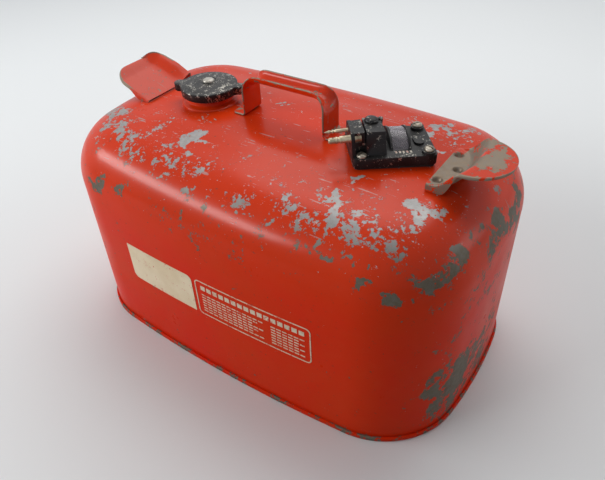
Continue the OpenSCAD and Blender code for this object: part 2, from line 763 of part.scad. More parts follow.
module fuel_prong() {
    r = fuel_prong_r;
    s = prong_seat;
    shank = r + shank_out;
    l = s + prong_l - 0.6;
    color([0.78, 0.72, 0.60]) prong(0) difference() {
        rotate_extrude() polygon([[0, lay_gap], [shank, lay_gap], [shank, s], [r, s],
            [r, s + 9], [r - 0.6, s + 9.4], [r - 0.6, s + 10.6],
            [r - 0.2, s + 11], [r - 0.2, s + 12], [r - 0.5, s + 12.5],
            [r - 0.5, l - 0.8], [r - 1.2, l], [0, l]]);
        translate([0, 0, -through]) cylinder(r = 1.5, h = l + 2 * through);
        translate([0, 0, s + 14.5]) rotate([0, 90, 0]) cylinder(r = 0.9, h = 8);
    }
}

module locating_prong() {
    r = locating_prong_r;
    s = prong_seat;
    shank = r + shank_out;
    l = s + prong_l + 1.1;
    color([0.78, 0.72, 0.60]) prong(1) rotate_extrude() polygon([
        [0, lay_gap], [shank, lay_gap], [shank, s], [r, s], [r, l - 9.5], [r - 0.4, l - 9],
        [r - 0.4, l - 8], [r, l - 7.6], [r, l - 6.6], [r - 0.6, l - 6.2],
        [r - 0.6, l - 5], [r + 0.1, l - 4.6], [0.3, l], [0, l]]);
}

// Pickup tube and strainer, upright below the housing
pickup_foot_z = floor_z + sheet + 6;
strainer_r = 8;
strainer_h = 26;

module at_pickup() {
    at_meter(0) translate([pickup_at.x, pickup_at.y, 0]) children();
}

pickup_l = meter_z - pickup_foot_z - 4;

module pickup_tube() {
    color([0.72, 0.66, 0.42]) at_pickup() translate([0, 0, -pickup_l]) difference() {
        cylinder(r = pickup_r, h = pickup_l + 12 - lay_gap);
        translate([0, 0, -through]) cylinder(r = pickup_r - 0.8, h = pickup_l + 12 + 2 * through);
    }
}

module pickup_strainer() {
    color([0.70, 0.66, 0.50]) at_pickup() translate([0, 0, -pickup_l - 2]) difference() {
        cylinder(r = strainer_r, h = strainer_h);
        translate([0, 0, 1]) cylinder(r = strainer_r - 1, h = strainer_h - 3);
        translate([0, 0, strainer_h - 4]) cylinder(r = pickup_r + lay_gap / 2, h = 8);
        for (i = [0:2]) translate([0, 0, 4]) rotate(60 * i)
            cube_centred(2 * (strainer_r + through), 4.4, strainer_h - 10);
    }
}

// Float gauge: a bracket under the housing carries the pivot, which lies along the housing
bracket_t = 1.5;
hub_w = 9;
bracket_gap = 0.4;
cheek_x = hub_w / 2 + bracket_gap;
bracket_screw_r = 1.4;
pivot_at = [window_at.x, window_at.y];

module bracket_screw_at(side, z) {
    translate([pivot_at.x + side * (window_w / 2 + tab_l / 2 + 0.6), pivot_at.y, z]) children();
}

module at_pivot() {
    at_meter(pivot_z) translate([pivot_at.x, pivot_at.y, 0]) children();
}

module float_bracket() {
    drop = -pivot_z + 3.2;
    outer = window_w / 2 + tab_l + 0.6;
    color(bare_steel) at_meter(0) difference() {
        for (side = [-1, 1]) translate([pivot_at.x, pivot_at.y, 0]) {
            x0 = side > 0 ? cheek_x : -outer;
            translate([x0, -bracket_leg_w / 2, -bracket_t - lay_gap / 2])
                cube([outer - cheek_x, bracket_leg_w, bracket_t]);
            translate([side > 0 ? cheek_x : -cheek_x - bracket_t, -bracket_leg_w / 2, -drop])
                cube([bracket_t, bracket_leg_w, drop - lay_gap / 2]);
        }
        translate([pivot_at.x - 12, pivot_at.y, pivot_z]) rotate([0, 90, 0])
            cylinder(r = pivot_r + 0.02, h = 24);
        for (side = [-1, 1]) bracket_screw_at(side, -5) cylinder(r = bracket_screw_r + lay_gap / 2, h = 10);
    }
}

module bracket_screws() {
    head_h = 1.4;
    color(bare_steel) at_meter(0) for (side = [-1, 1]) bracket_screw_at(side, -bracket_t - lay_gap - head_h) {
        cylinder(r = 2.6, h = head_h);
        cylinder(r = bracket_screw_r, h = head_h + bracket_t + 5);
    }
}

module pivot_pin() {
    half = cheek_x + bracket_t + 0.8;
    color(bare_steel) at_pivot() translate([-half, 0, 0]) rotate([0, 90, 0])
        cylinder(r = pivot_r, h = 2 * half);
}

wire_r = 1.3;
jog_depth = 30;
jog_l = 62;

// At rest the arm stands at the middle of its swing, and the pointer at the top of the window
module at_middle() {
    at_pivot() rotate([float_swing, 0, 0]) children();
}

module arm_wire() {
    translate([0, 0, -jog_depth]) cylinder(r = wire_r, h = jog_depth - pivot_r - 0.6);
    translate([0, 0, -jog_depth]) sphere(r = wire_r);
    translate([-jog_l, 0, -jog_depth]) rotate([0, 90, 0]) cylinder(r = wire_r, h = jog_l);
    translate([-jog_l, 0, -jog_depth]) sphere(r = wire_r);
    translate([-jog_l, 0, -float_arm_l]) cylinder(r = wire_r, h = float_arm_l - jog_depth);
}

module float_arm() {
    hub_r = 3.6;
    color(bare_steel) at_pivot() difference() {
        union() {
            translate([-hub_w / 2, 0, 0]) rotate([0, 90, 0]) cylinder(r = hub_r, h = hub_w);
            rotate([float_swing, 0, 0]) arm_wire();
            translate([0, 0, hub_r - 1]) cylinder(r = wire_r, h = window_r - lens_t - 2.6 - hub_r + 1);
        }
        translate([-hub_w, 0, 0]) rotate([0, 90, 0]) cylinder(r = pivot_r + running_gap, h = 2 * hub_w);
    }
}

module fuel_float() {
    color([0.62, 0.45, 0.28]) at_middle() translate([-jog_l, 0, -float_arm_l]) difference() {
        translate([-float_l / 2, 0, 0]) rotate([0, 90, 0]) rotate_extrude() polygon([[0, 0], [float_r - 2, 0],
            [float_r, 2], [float_r, float_l - 2], [float_r - 2, float_l], [0, float_l]]);
        translate([0, 0, -lay_gap]) cylinder(r = wire_r + lay_gap / 2, h = float_r + 2);
    }
}

module gauge_pointer() {
    pointer_r = window_r - lens_t - 0.8;
    pointer_w = window_w - 4;
    color("white") at_pivot() difference() {
        intersection() {
            translate([-pointer_w / 2, 0, 0]) rotate([0, 90, 0])
                cylinder(r = pointer_r, h = pointer_w, $fn = 96);
            translate([-pointer_w, -4, 0]) cube([2 * pointer_w, 8, pointer_r + 1]);
        }
        translate([-pointer_w, 0, 0]) rotate([0, 90, 0])
            cylinder(r = pointer_r - 1.6, h = 2 * pointer_w, $fn = 96);
        cylinder(r = wire_r + lay_gap / 2, h = pointer_r - 0.6);
    }
}

tank_shell();
bottom_pan();
carry_handle();
left_hose_hook();
right_hose_hook();
filler_neck();
cap_shell();
cap_rivet();
cap_locking_bar();
cap_spring();
cap_pressure_disc();
cap_gasket();
meter_mounting_ring();
meter_gasket();
meter_housing();
housing_plug();
housing_screws();
gauge_lens();
fuel_prong();
locating_prong();
pickup_tube();
pickup_strainer();
float_bracket();
bracket_screws();
pivot_pin();
float_arm();
fuel_float();
gauge_pointer();
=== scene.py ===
"""Portable outboard fuel tank: smooth sheet-metal pieces, worn finishes, stage and camera.

Lengths in the tables below are millimetres in the row frame, and meshes are in metres.
"""

import math

import bmesh
import bpy
from bpy.props import FloatProperty, FloatVectorProperty, PointerProperty
from mathutils import Matrix, Vector


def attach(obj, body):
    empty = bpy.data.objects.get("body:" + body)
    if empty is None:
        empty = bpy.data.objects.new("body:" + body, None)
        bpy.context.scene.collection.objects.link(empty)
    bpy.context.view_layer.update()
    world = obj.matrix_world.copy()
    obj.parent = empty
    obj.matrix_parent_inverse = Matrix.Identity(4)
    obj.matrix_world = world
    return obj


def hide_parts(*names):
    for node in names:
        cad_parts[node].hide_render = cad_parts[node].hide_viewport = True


bl_info = {
    "name": "Portable Fuel Tank",
    "version": (1, 0, 0),
    "blender": (4, 5, 0),
    "location": "View3D > Sidebar > Fuel Tank",
    "description": "Builds the worn enamel fuel tank on its packed frame",
    "category": "Object",
}

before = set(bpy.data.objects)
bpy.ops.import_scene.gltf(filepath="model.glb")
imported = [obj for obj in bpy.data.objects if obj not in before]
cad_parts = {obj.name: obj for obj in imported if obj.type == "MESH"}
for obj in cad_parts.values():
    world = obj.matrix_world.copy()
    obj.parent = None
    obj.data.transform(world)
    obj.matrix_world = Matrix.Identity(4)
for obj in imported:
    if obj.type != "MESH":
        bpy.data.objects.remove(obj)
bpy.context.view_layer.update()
MM = 0.001

# ---------------------------------------------------------------- sizes shared with the solids

TANK_L, TANK_W = 450.0, 279.0
SHOULDER_H, SHOULDER_R, CROWN_H = 227.0, 56.0, 5.5
CORNER_R, SIDE_R, END_R = 86.0, 1650.0, 490.0
SHEET, SEAM_OUT, SEAM_H = 1.0, 2.5, 5.2
FLOOR_Z = SEAM_H + 0.8
LAY_GAP = 0.1
TOP_INSET = SEAM_OUT + SHOULDER_R

HANDLE = dict(x=3.4, span=90.6, w=27.3, t=1.8, rise=33.6, bend=14.0, foot=14.0, roll=84.0)
HOOK = dict(inset=65.5, drawn_in=4.0, w=67.0, l=60.0, base=6.6, wing=17.0, t=1.8)
FOLD = dict(r=1.4, share=6, fade_at=12.0, fade=14.0, lip=0.4)
DISH = dict(x=2.0, squash=0.566, flat=17.5, ramp=13.5)
CUPS = ((5.5, -22.5), (5.5, 22.5), (14.0, 0.0))
CUP = dict(r=4.9, wall=3.2, depth=4.1)
BENT = dict(rise=2.6, slope=0.34, side=8.5, side_at=10.0, side_ramp=24.0, side_least=0.75, side_grow=20.0,
            lip=2.5, lip_l=14.0, l=51.0, corner=19.0)
NECK = dict(x=97.0, r=24.0, rise=16.0, wall=1.2)
CAP = dict(r=29.0, lug_out=8.5, lug_w=11.0, fillet=4.0, skirt=8.4, turn=22.0, sheet=1.2, rivet=2.5,
           drop=1.2, dome=0.7)
METER = dict(x=109.5, turn=40.0, tilt=2.2, lift=1.6, t=9.0)
SCREW_AT = (28.9, 20.5)
BOSS_RISE = 2.6
WINDOW = dict(x=6.5, y=4.5, w=14.0)
BRACKET_REACH, HOLE_ROOM = (7.6, 3.0), 0.6
METER_HOLE_R = HOLE_ROOM + math.hypot(WINDOW["x"] + WINDOW["w"] / 2 + BRACKET_REACH[0],
                                      WINDOW["y"] + BRACKET_REACH[1])

# What lies between the neck's rim and the cap's plate
GASKET_T, DISC_T, SPRING_H = 2.0, 0.8, 3.5
CAP_TOP = SHOULDER_H + NECK["rise"] + LAY_GAP + GASKET_T + LAY_GAP / 2 + DISC_T + SPRING_H + CAP["sheet"]


def arc_points(cx, cy, r, start, end, steps):
    """Points along an arc, without its last one."""
    return [(cx + r * math.cos(start + (end - start) * i / steps),
             cy + r * math.sin(start + (end - start) * i / steps)) for i in range(steps)]


def outline(inset, steps=(5, 34, 10)):
    """The tank's plan as tangent arcs: bowed end, round corner, bowed side, four times."""
    end_x, side_y = TANK_L / 2 - END_R, TANK_W / 2 - SIDE_R
    end_reach, side_reach = END_R - CORNER_R, SIDE_R - CORNER_R
    gap = math.hypot(end_x, side_y)
    along = (end_reach ** 2 - side_reach ** 2 + gap ** 2) / (2 * gap)
    across = math.sqrt(end_reach ** 2 - along ** 2)
    tx, ty = -end_x / gap, side_y / gap
    cx, cy = end_x + along * tx - across * ty, along * ty + across * tx
    end_turn = math.atan2(cy, cx - end_x)
    corner_turn = math.atan2(cy - side_y, cx)
    quarter = (arc_points(end_x, 0, END_R - inset, 0, end_turn, steps[0])
               + arc_points(cx, cy, CORNER_R - inset, end_turn, corner_turn, steps[1])
               + arc_points(0, side_y, SIDE_R - inset, corner_turn, math.pi / 2, steps[2])
               + [(0, TANK_W / 2 - inset)])
    n = len(quarter) - 1
    return ([quarter[i] for i in range(n)] + [(-quarter[n - i][0], quarter[n - i][1]) for i in range(n)]
            + [(-quarter[i][0], -quarter[i][1]) for i in range(n)]
            + [(quarter[n - i][0], -quarter[n - i][1]) for i in range(n)])


def crown_z(s):
    """Height of the top at a share of the way from its middle to the shoulder."""
    return SHOULDER_H + CROWN_H * (1 - s ** 4) ** 2


def top_z(x, y=0.0):
    s = math.hypot(x / (TANK_L / 2 - TOP_INSET), y / (TANK_W / 2 - TOP_INSET))
    return crown_z(min(1.0, s))


def band_z(x, steps=6):
    """Height of the top along the middle, as the solids' bands have it."""
    s = min(1.0, x / (TANK_L / 2 - TOP_INSET)) * steps
    k = math.floor(s)
    return (1 - s + k) * crown_z(k / steps) + (s - k) * crown_z((k + 1) / steps)


def ring(inset, z, s=1.0):
    return [(x * s, y * s, z) for x, y in outline(inset)]


def front_wall_y(x):
    """Where the outer face of the front wall stands at a given x."""
    r = SIDE_R - SEAM_OUT
    return -(TANK_W / 2 - SIDE_R) - math.sqrt(r * r - x * x)


PLATE_X, PANEL_X, LABEL_Z = (-114.2, -23.5), (-19.2, 110.9), (80.0, 124.9)
METER_Z = top_z(METER["x"]) + METER["lift"]
METER_PLACE = (Matrix.Translation((METER["x"], 0, METER_Z))
               @ Matrix.Rotation(math.radians(METER["tilt"]), 4, "Y")
               @ Matrix.Rotation(math.radians(METER["turn"]), 4, "Z"))

# ---------------------------------------------------------------- mesh helpers


def loft(rings, start=None, end=None, closed=False):
    """Quads between rings of equal length; start and end are apex points, or True for one face."""
    n = len(rings[0])
    verts = [p for r in rings for p in r]
    count = len(rings)
    faces = []
    for i in range(count if closed else count - 1):
        j = (i + 1) % count
        for k in range(n):
            m = (k + 1) % n
            faces.append((i * n + k, i * n + m, j * n + m, j * n + k))
    for apex, first, turn in ((start, 0, True), (end, (count - 1) * n, False)):
        if apex is None:
            continue
        loop = [first + k for k in range(n)]
        if apex is True:
            faces.append(tuple(reversed(loop)) if turn else tuple(loop))
            continue
        verts.append(apex)
        tip = len(verts) - 1
        for k in range(n):
            a, b = loop[k], loop[(k + 1) % n]
            faces.append((b, a, tip) if turn else (a, b, tip))
    return verts, faces


def lathe(profile, segments=96, centre=(0.0, 0.0), place=None):
    """Turns (radius, z) points about an upright axis. A radius of 0 closes the end."""
    tip = {}
    body = list(profile)
    if body[0][0] == 0:
        tip["start"] = (centre[0], centre[1], body.pop(0)[1])
    if body[-1][0] == 0:
        tip["end"] = (centre[0], centre[1], body.pop()[1])
    rings = [[(centre[0] + r * math.cos(2 * math.pi * k / segments),
               centre[1] + r * math.sin(2 * math.pi * k / segments), z) for k in range(segments)]
             for r, z in body]
    verts, faces = loft(rings, tip.get("start"), tip.get("end"), closed=not tip)
    if place is not None:
        verts = [tuple(place @ Vector(v)) for v in verts]
    return verts, faces


def new_mesh_object(name, verts, faces):
    mesh = bpy.data.meshes.new(name)
    mesh.from_pydata([(x * MM, y * MM, z * MM) for x, y, z in verts], [], faces)
    mesh.validate()
    obj = bpy.data.objects.new(name, mesh)
    bpy.context.scene.collection.objects.link(obj)
    return obj


def outward(obj):
    bm = bmesh.new()
    bm.from_mesh(obj.data)
    bmesh.ops.recalc_face_normals(bm, faces=bm.faces)
    bm.to_mesh(obj.data)
    bm.free()


def apply_modifiers(obj):
    graph = bpy.context.evaluated_depsgraph_get()
    mesh = bpy.data.meshes.new_from_object(obj.evaluated_get(graph))
    obj.modifiers.clear()
    old = obj.data
    obj.data = mesh
    mesh.name = obj.name
    bpy.data.meshes.remove(old)


def rounded_edges(obj, width, segments=2, angle=35):
    bevel = obj.modifiers.new("rounding", "BEVEL")
    bevel.width = width * MM
    bevel.segments = segments
    bevel.limit_method = "ANGLE"
    bevel.angle_limit = math.radians(angle)
    bevel.harden_normals = False


def finish_piece(obj, body, finish, nodes=(), slot=None, angle=35):
    """Smooth shading, material, and the frame calls that every finished piece needs."""
    apply_modifiers(obj)
    obj.data.shade_smooth()
    obj.data.set_sharp_from_angle(angle=math.radians(angle))
    slots = [p.material_index for p in obj.data.polygons]
    obj.data.materials.clear()
    for material in finish if isinstance(finish, tuple) else (finish,):
        obj.data.materials.append(material)
    if isinstance(finish, tuple):
        obj.data.polygons.foreach_set("material_index", slots)
    if nodes:
        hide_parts(*nodes)
    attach(obj, body)
    return obj


def softened(name, node, body, finish, width, segments=2, angle=35):
    """A merged copy of a CAD node with its edges rounded, standing for that node."""
    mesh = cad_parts[node].data.copy()
    obj = bpy.data.objects.new(name, mesh)
    bpy.context.scene.collection.objects.link(obj)
    bm = bmesh.new()
    bm.from_mesh(mesh)
    bmesh.ops.remove_doubles(bm, verts=bm.verts, dist=1e-6)
    bmesh.ops.dissolve_limit(bm, angle_limit=math.radians(0.6), verts=bm.verts, edges=bm.edges)
    bm.to_mesh(mesh)
    bm.free()
    rounded_edges(obj, width, segments, angle)
    return finish_piece(obj, body, finish, (node,), node)


def with_hole(obj, verts, faces):
    """Cuts a closed cutter out of a piece."""
    cutter = new_mesh_object("cutter", verts, faces)
    cut = obj.modifiers.new("hole", "BOOLEAN")
    cut.operation = "DIFFERENCE"
    cut.object = cutter
    cut.solver = "EXACT"
    apply_modifiers(obj)
    bpy.data.objects.remove(cutter)


# ---------------------------------------------------------------- shader helpers


class Shade:
    """Short calls that add nodes to one tree."""

    def __init__(self, tree):
        self.tree = tree

    def node(self, kind, **values):
        made = self.tree.nodes.new(kind)
        for key, value in values.items():
            setattr(made, key, value)
        return made

    def link(self, source, target):
        self.tree.links.new(source, target)

    def put(self, socket, value):
        if isinstance(value, bpy.types.NodeSocket):
            self.link(value, socket)
        else:
            socket.default_value = value

    def math(self, operation, a, b=0.0, clamp=False):
        made = self.node("ShaderNodeMath", operation=operation, use_clamp=clamp)
        self.put(made.inputs[0], a)
        self.put(made.inputs[1], b)
        return made.outputs[0]

    def vector(self, operation, a, b=(0.0, 0.0, 0.0)):
        made = self.node("ShaderNodeVectorMath", operation=operation)
        self.put(made.inputs[0], a)
        self.put(made.inputs[1], b)
        return made.outputs["Value" if operation in ("LENGTH", "DISTANCE", "DOT_PRODUCT") else "Vector"]

    def noise(self, vector, scale, detail=4.0, rough=0.55, distort=0.0):
        made = self.node("ShaderNodeTexNoise")
        self.put(made.inputs["Vector"], vector)
        self.put(made.inputs["Scale"], scale)
        self.put(made.inputs["Detail"], detail)
        self.put(made.inputs["Roughness"], rough)
        self.put(made.inputs["Distortion"], distort)
        return made.outputs["Fac"]

    def ramp(self, value, low, high, to_low=0.0, to_high=1.0, smooth=False):
        made = self.node("ShaderNodeMapRange", clamp=True,
                         interpolation_type="SMOOTHSTEP" if smooth else "LINEAR")
        for index, given in enumerate((value, low, high, to_low, to_high)):
            self.put(made.inputs[index], given)
        return made.outputs[0]

    def cloud(self, vector, scale, detail, rough, to_low=0.0, to_high=1.0):
        """Noise, spread from one value to another."""
        return self.ramp(self.noise(vector, scale, detail, rough), 0.3, 0.7, to_low, to_high)

    def mix(self, factor, a, b):
        made = self.node("ShaderNodeMix", data_type="RGBA")
        self.put(made.inputs["Factor"], factor)
        self.put(made.inputs["A"], a)
        self.put(made.inputs["B"], b)
        return made.outputs["Result"]

    def blend(self, factor, a, b):
        made = self.node("ShaderNodeMix", data_type="FLOAT")
        self.put(made.inputs["Factor"], factor)
        self.put(made.inputs["A"], a)
        self.put(made.inputs["B"], b)
        return made.outputs["Result"]

    def bump(self, height, strength, distance=0.001, normal=None):
        made = self.node("ShaderNodeBump")
        self.put(made.inputs["Height"], height)
        self.put(made.inputs["Strength"], strength)
        self.put(made.inputs["Distance"], distance)
        if normal is not None:
            self.put(made.inputs["Normal"], normal)
        return made.outputs["Normal"]

    def group(self, tree, **values):
        made = self.node("ShaderNodeGroup")
        made.node_tree = tree
        for key, value in values.items():
            self.put(made.inputs[key.replace("_", " ")], value)
        return made


def rgb(colour):
    return (*colour, 1.0)


def new_group(name, inputs, outputs):
    tree = bpy.data.node_groups.new(name, "ShaderNodeTree")
    for label, kind, default in inputs:
        socket = tree.interface.new_socket(label, in_out="INPUT", socket_type=kind)
        if default is not None:
            socket.default_value = default
    for label, kind in outputs:
        tree.interface.new_socket(label, in_out="OUTPUT", socket_type=kind)
    shade = Shade(tree)
    return shade, shade.node("NodeGroupInput").outputs, shade.node("NodeGroupOutput").inputs


FLOAT, VECTOR = "NodeSocketFloat", "NodeSocketVector"


def flake_group():
    """Ragged flakes where a field of 0 to 1 says how much paint is gone."""
    s, given, out = new_group("Paint flakes", (("Place", VECTOR, None), ("Field", FLOAT, 0.0),
                                               ("Scale", FLOAT, 90.0), ("Sharpness", FLOAT, 0.03)),
                              (("Mask", FLOAT), ("Edge", FLOAT)))
    broad = s.noise(given["Place"], given["Scale"], 8.0, 0.68, 0.5)
    fine = s.noise(given["Place"], s.math("MULTIPLY", given["Scale"], 4.3), 5.0, 0.65)
    grain = s.math("ADD", s.math("MULTIPLY", broad, 0.56), s.math("MULTIPLY", fine, 0.44))
    swing = s.math("MULTIPLY", s.math("SUBTRACT", grain, 0.5), 3.5)
    level = s.math("SUBTRACT", s.math("ADD", swing, given["Field"]), 0.5)
    s.link(s.ramp(level, 0.0, given["Sharpness"]), out["Mask"])
    s.link(s.ramp(s.math("ABSOLUTE", level), 0.09, 0.0), out["Edge"])
    return s.tree


def scratch_group():
    """Thin straight scratches in four crossing directions."""
    s, given, out = new_group("Fine scratches", (("Place", VECTOR, None), ("Amount", FLOAT, 0.5),
                                                 ("Scale", FLOAT, 60.0)), (("Mask", FLOAT),))
    total = None
    for turn, stretch, seed in ((0.42, 17.0, 1.7), (1.1, 13.0, 7.1), (-0.5, 20.0, 13.3), (1.9, 15.0, 4.9)):
        mapping = s.node("ShaderNodeMapping")
        s.put(mapping.inputs["Vector"], given["Place"])
        mapping.inputs["Rotation"].default_value = (0.1, 0.05, turn)
        mapping.inputs["Location"].default_value = (seed, seed * 0.7, seed * 0.3)
        mapping.inputs["Scale"].default_value = (1.0, stretch, 1.0)
        line = s.noise(mapping.outputs[0], given["Scale"], 1.0, 0.5, 0.3)
        here = s.noise(s.vector("ADD", given["Place"], (seed, 0.0, 0.0)), 40.0, 5.0, 0.7)
        level = s.math("ADD", s.math("MULTIPLY", line, 0.5), s.math("MULTIPLY", here, 0.5))
        limit = s.math("SUBTRACT", 0.70, s.math("MULTIPLY", given["Amount"], 0.11))
        mask = s.ramp(s.math("SUBTRACT", level, limit), 0.0, 0.015, 0.0, 0.7)
        total = mask if total is None else s.math("MAXIMUM", total, mask)
    s.link(total, out["Mask"])
    return s.tree


def spots_group(name, spots):
    """A field that is full at the middle of each spot and 0 past its rim, with rims pulled out of round."""
    s, given, out = new_group(name, (("Place", VECTOR, None),), (("Field", FLOAT),))
    wander = s.node("ShaderNodeTexNoise")
    for label, value in (("Vector", given["Place"]), ("Scale", 48.0), ("Detail", 3.0)):
        s.put(wander.inputs[label], value)
    pulled = s.vector("SUBTRACT", wander.outputs["Color"], (0.5, 0.5, 0.5))
    pulled = s.vector("MULTIPLY", pulled, (0.07, 0.07, 0.03))
    place = s.vector("ADD", given["Place"], pulled)
    total = None
    for x, y, z, rx, ry, rz, strength in spots:
        offset = s.vector("SUBTRACT", place, (x * MM, y * MM, z * MM))
        scaled = s.vector("DIVIDE", offset, (rx * MM, ry * MM, rz * MM))
        near = s.ramp(s.vector("LENGTH", scaled), 1.3, 0.15, 0.0, strength * 1.12, smooth=True)
        total = near if total is None else s.math("MAXIMUM", total, near)
    s.link(total, out["Field"])
    return s.tree


def edge_group():
    """How much an edge or ridge stands out, from the difference between smoothed normals."""
    s, given, out = new_group("Worn edges", (("Radius", FLOAT, 0.0015), ("Reach", FLOAT, 0.2)),
                              (("Mask", FLOAT),))
    bevel = s.node("ShaderNodeBevel", samples=6)
    s.put(bevel.inputs["Radius"], given["Radius"])
    geometry = s.node("ShaderNodeNewGeometry")
    away = s.vector("DOT_PRODUCT", bevel.outputs["Normal"], geometry.outputs["Normal"])
    s.link(s.ramp(away, 0.995, s.math("SUBTRACT", 0.995, given["Reach"])), out["Mask"])
    return s.tree


# Bare patches of the tank: centre, reach along x, y and z, and how much paint is gone there
TANK_SPOTS = (
    (-156, -83, 225, 24, 22, 8, 0.80), (-62, -69, 228, 24, 11, 8, 0.85), (-67, -101, 223, 9, 7, 8, 0.75),
    (-28, -106, 221, 18, 12, 8, 0.50), (-111, -107, 219, 10, 7, 8, 0.60), (-68, -115, 214, 32, 9, 9, 0.42),
    (-100, -130, 191, 11, 8, 8, 0.70), (-141, -129, 186, 17, 8, 15, 0.70), (-21, -123, 208, 9, 8, 8, 0.60),
    (-18, -131, 194, 5, 5, 5, 0.45), (24, -112, 217, 25, 18, 12, 0.42), (22, -128, 200, 13, 7, 8, 0.72),
    (32, -120, 210, 7, 7, 7, 0.70), (-3, -136, 181, 10, 6, 12, 0.42), (15, -135, 186, 6, 5, 5, 0.35),
    (106, -88, 226, 22, 28, 8, 0.74), (100, -79, 227, 12, 13, 8, 0.90),
    (105, -45, 230, 14, 9, 8, 0.80), (169, -64, 226, 22, 22, 8, 0.86), (143, -78, 227, 10, 19, 8, 0.42),
    (140, -99, 221, 7, 7, 7, 0.60), (-25, 29, 232, 9, 12, 8, 0.55), (103, 72, 228, 12, 14, 8, 0.60),
    (124, 62, 228, 11, 25, 8, 0.70), (144, 23, 228, 7, 16, 8, 0.75), (155, 74, 227, 19, 21, 8, 0.50),
    (117, -118, 209, 13, 7, 7, 0.66), (145, -116, 208, 16, 7, 8, 0.68), (130, -123, 200, 7, 7, 7, 0.70),
    (170, -109, 207, 7, 7, 7, 0.80), (157, -122, 195, 12, 8, 10, 0.84), (173, -121, 182, 14, 9, 11, 0.76),
    (167, -103, 214, 15, 9, 8, 0.42), (205, -92, 196, 26, 34, 22, 0.62), (214, -60, 205, 18, 34, 16, 0.70),
    (218, -9, 196, 14, 44, 20, 0.74),
    (216, 36, 193, 12, 26, 39, 0.85), (222, 5, 42, 8, 64, 60, 0.66), (214, -62, 50, 18, 56, 60, 0.86),
    (214, -77, 120, 8, 22, 17, 0.42), (144, -131, 80, 10, 8, 7, 0.60), (110, -133, 73, 11, 8, 7, 0.50),
    (-178, -62, 224, 30, 30, 10, 0.62), (-196, -70, 208, 16, 24, 16, 0.55), (-216, 20, 190, 20, 60, 34, 0.50),
    (0, 137, 60, 150, 9, 34, 0.36), (-60, 100, 212, 90, 30, 24, 0.30), (-100, -92, 222, 150, 70, 44, 0.30),
    (120, -100, 218, 130, 66, 50, 0.32),
    (0, -128, 196, 200, 30, 40, 0.27), (130, 40, 230, 90, 80, 20, 0.24), (214, 0, 170, 26, 150, 110, 0.27),
)


class Finish:
    """Builds each material once and keeps it."""

    groups = {}
    made = {}

    @classmethod
    def shared(cls, key, build, *args):
        if key not in cls.groups:
            cls.groups[key] = build(*args)
        return cls.groups[key]

    @classmethod
    def get(cls, name, build, *args):
        if name not in cls.made:
            material = bpy.data.materials.new(name)
            material.use_nodes = True
            material.node_tree.nodes.clear()
            s = Shade(material.node_tree)
            shader = s.node("ShaderNodeBsdfPrincipled")
            s.link(shader.outputs[0], s.node("ShaderNodeOutputMaterial").inputs["Surface"])
            build(s, shader.inputs, s.node("ShaderNodeTexCoord").outputs["Object"], *args)
            cls.made[name] = material
        return cls.made[name]


def edge_mask(s, radius, reach):
    """Where edges stand out, for a rounding radius in millimetres."""
    return s.group(Finish.shared("edges", edge_group), Radius=radius * MM, Reach=reach).outputs["Mask"]


def flakes(s, place, field, scale, sharpness=0.03):
    group = Finish.shared("flakes", flake_group)
    return s.group(group, Place=place, Field=field, Scale=scale, Sharpness=sharpness).outputs


# Heights in metres over which wear, gloss, the walls' painted shade and the bare steel's painted light change
# from the walls to the top
WEAR_RISE, PAINTED_SHADE_RISE, STEEL_LIGHT_RISE = (0.192, 0.224), (0.13, 0.20), (0.205, 0.224)
GLOSS_RISE, METAL_RISE = (0.172, 0.205), (0.19, 0.224)


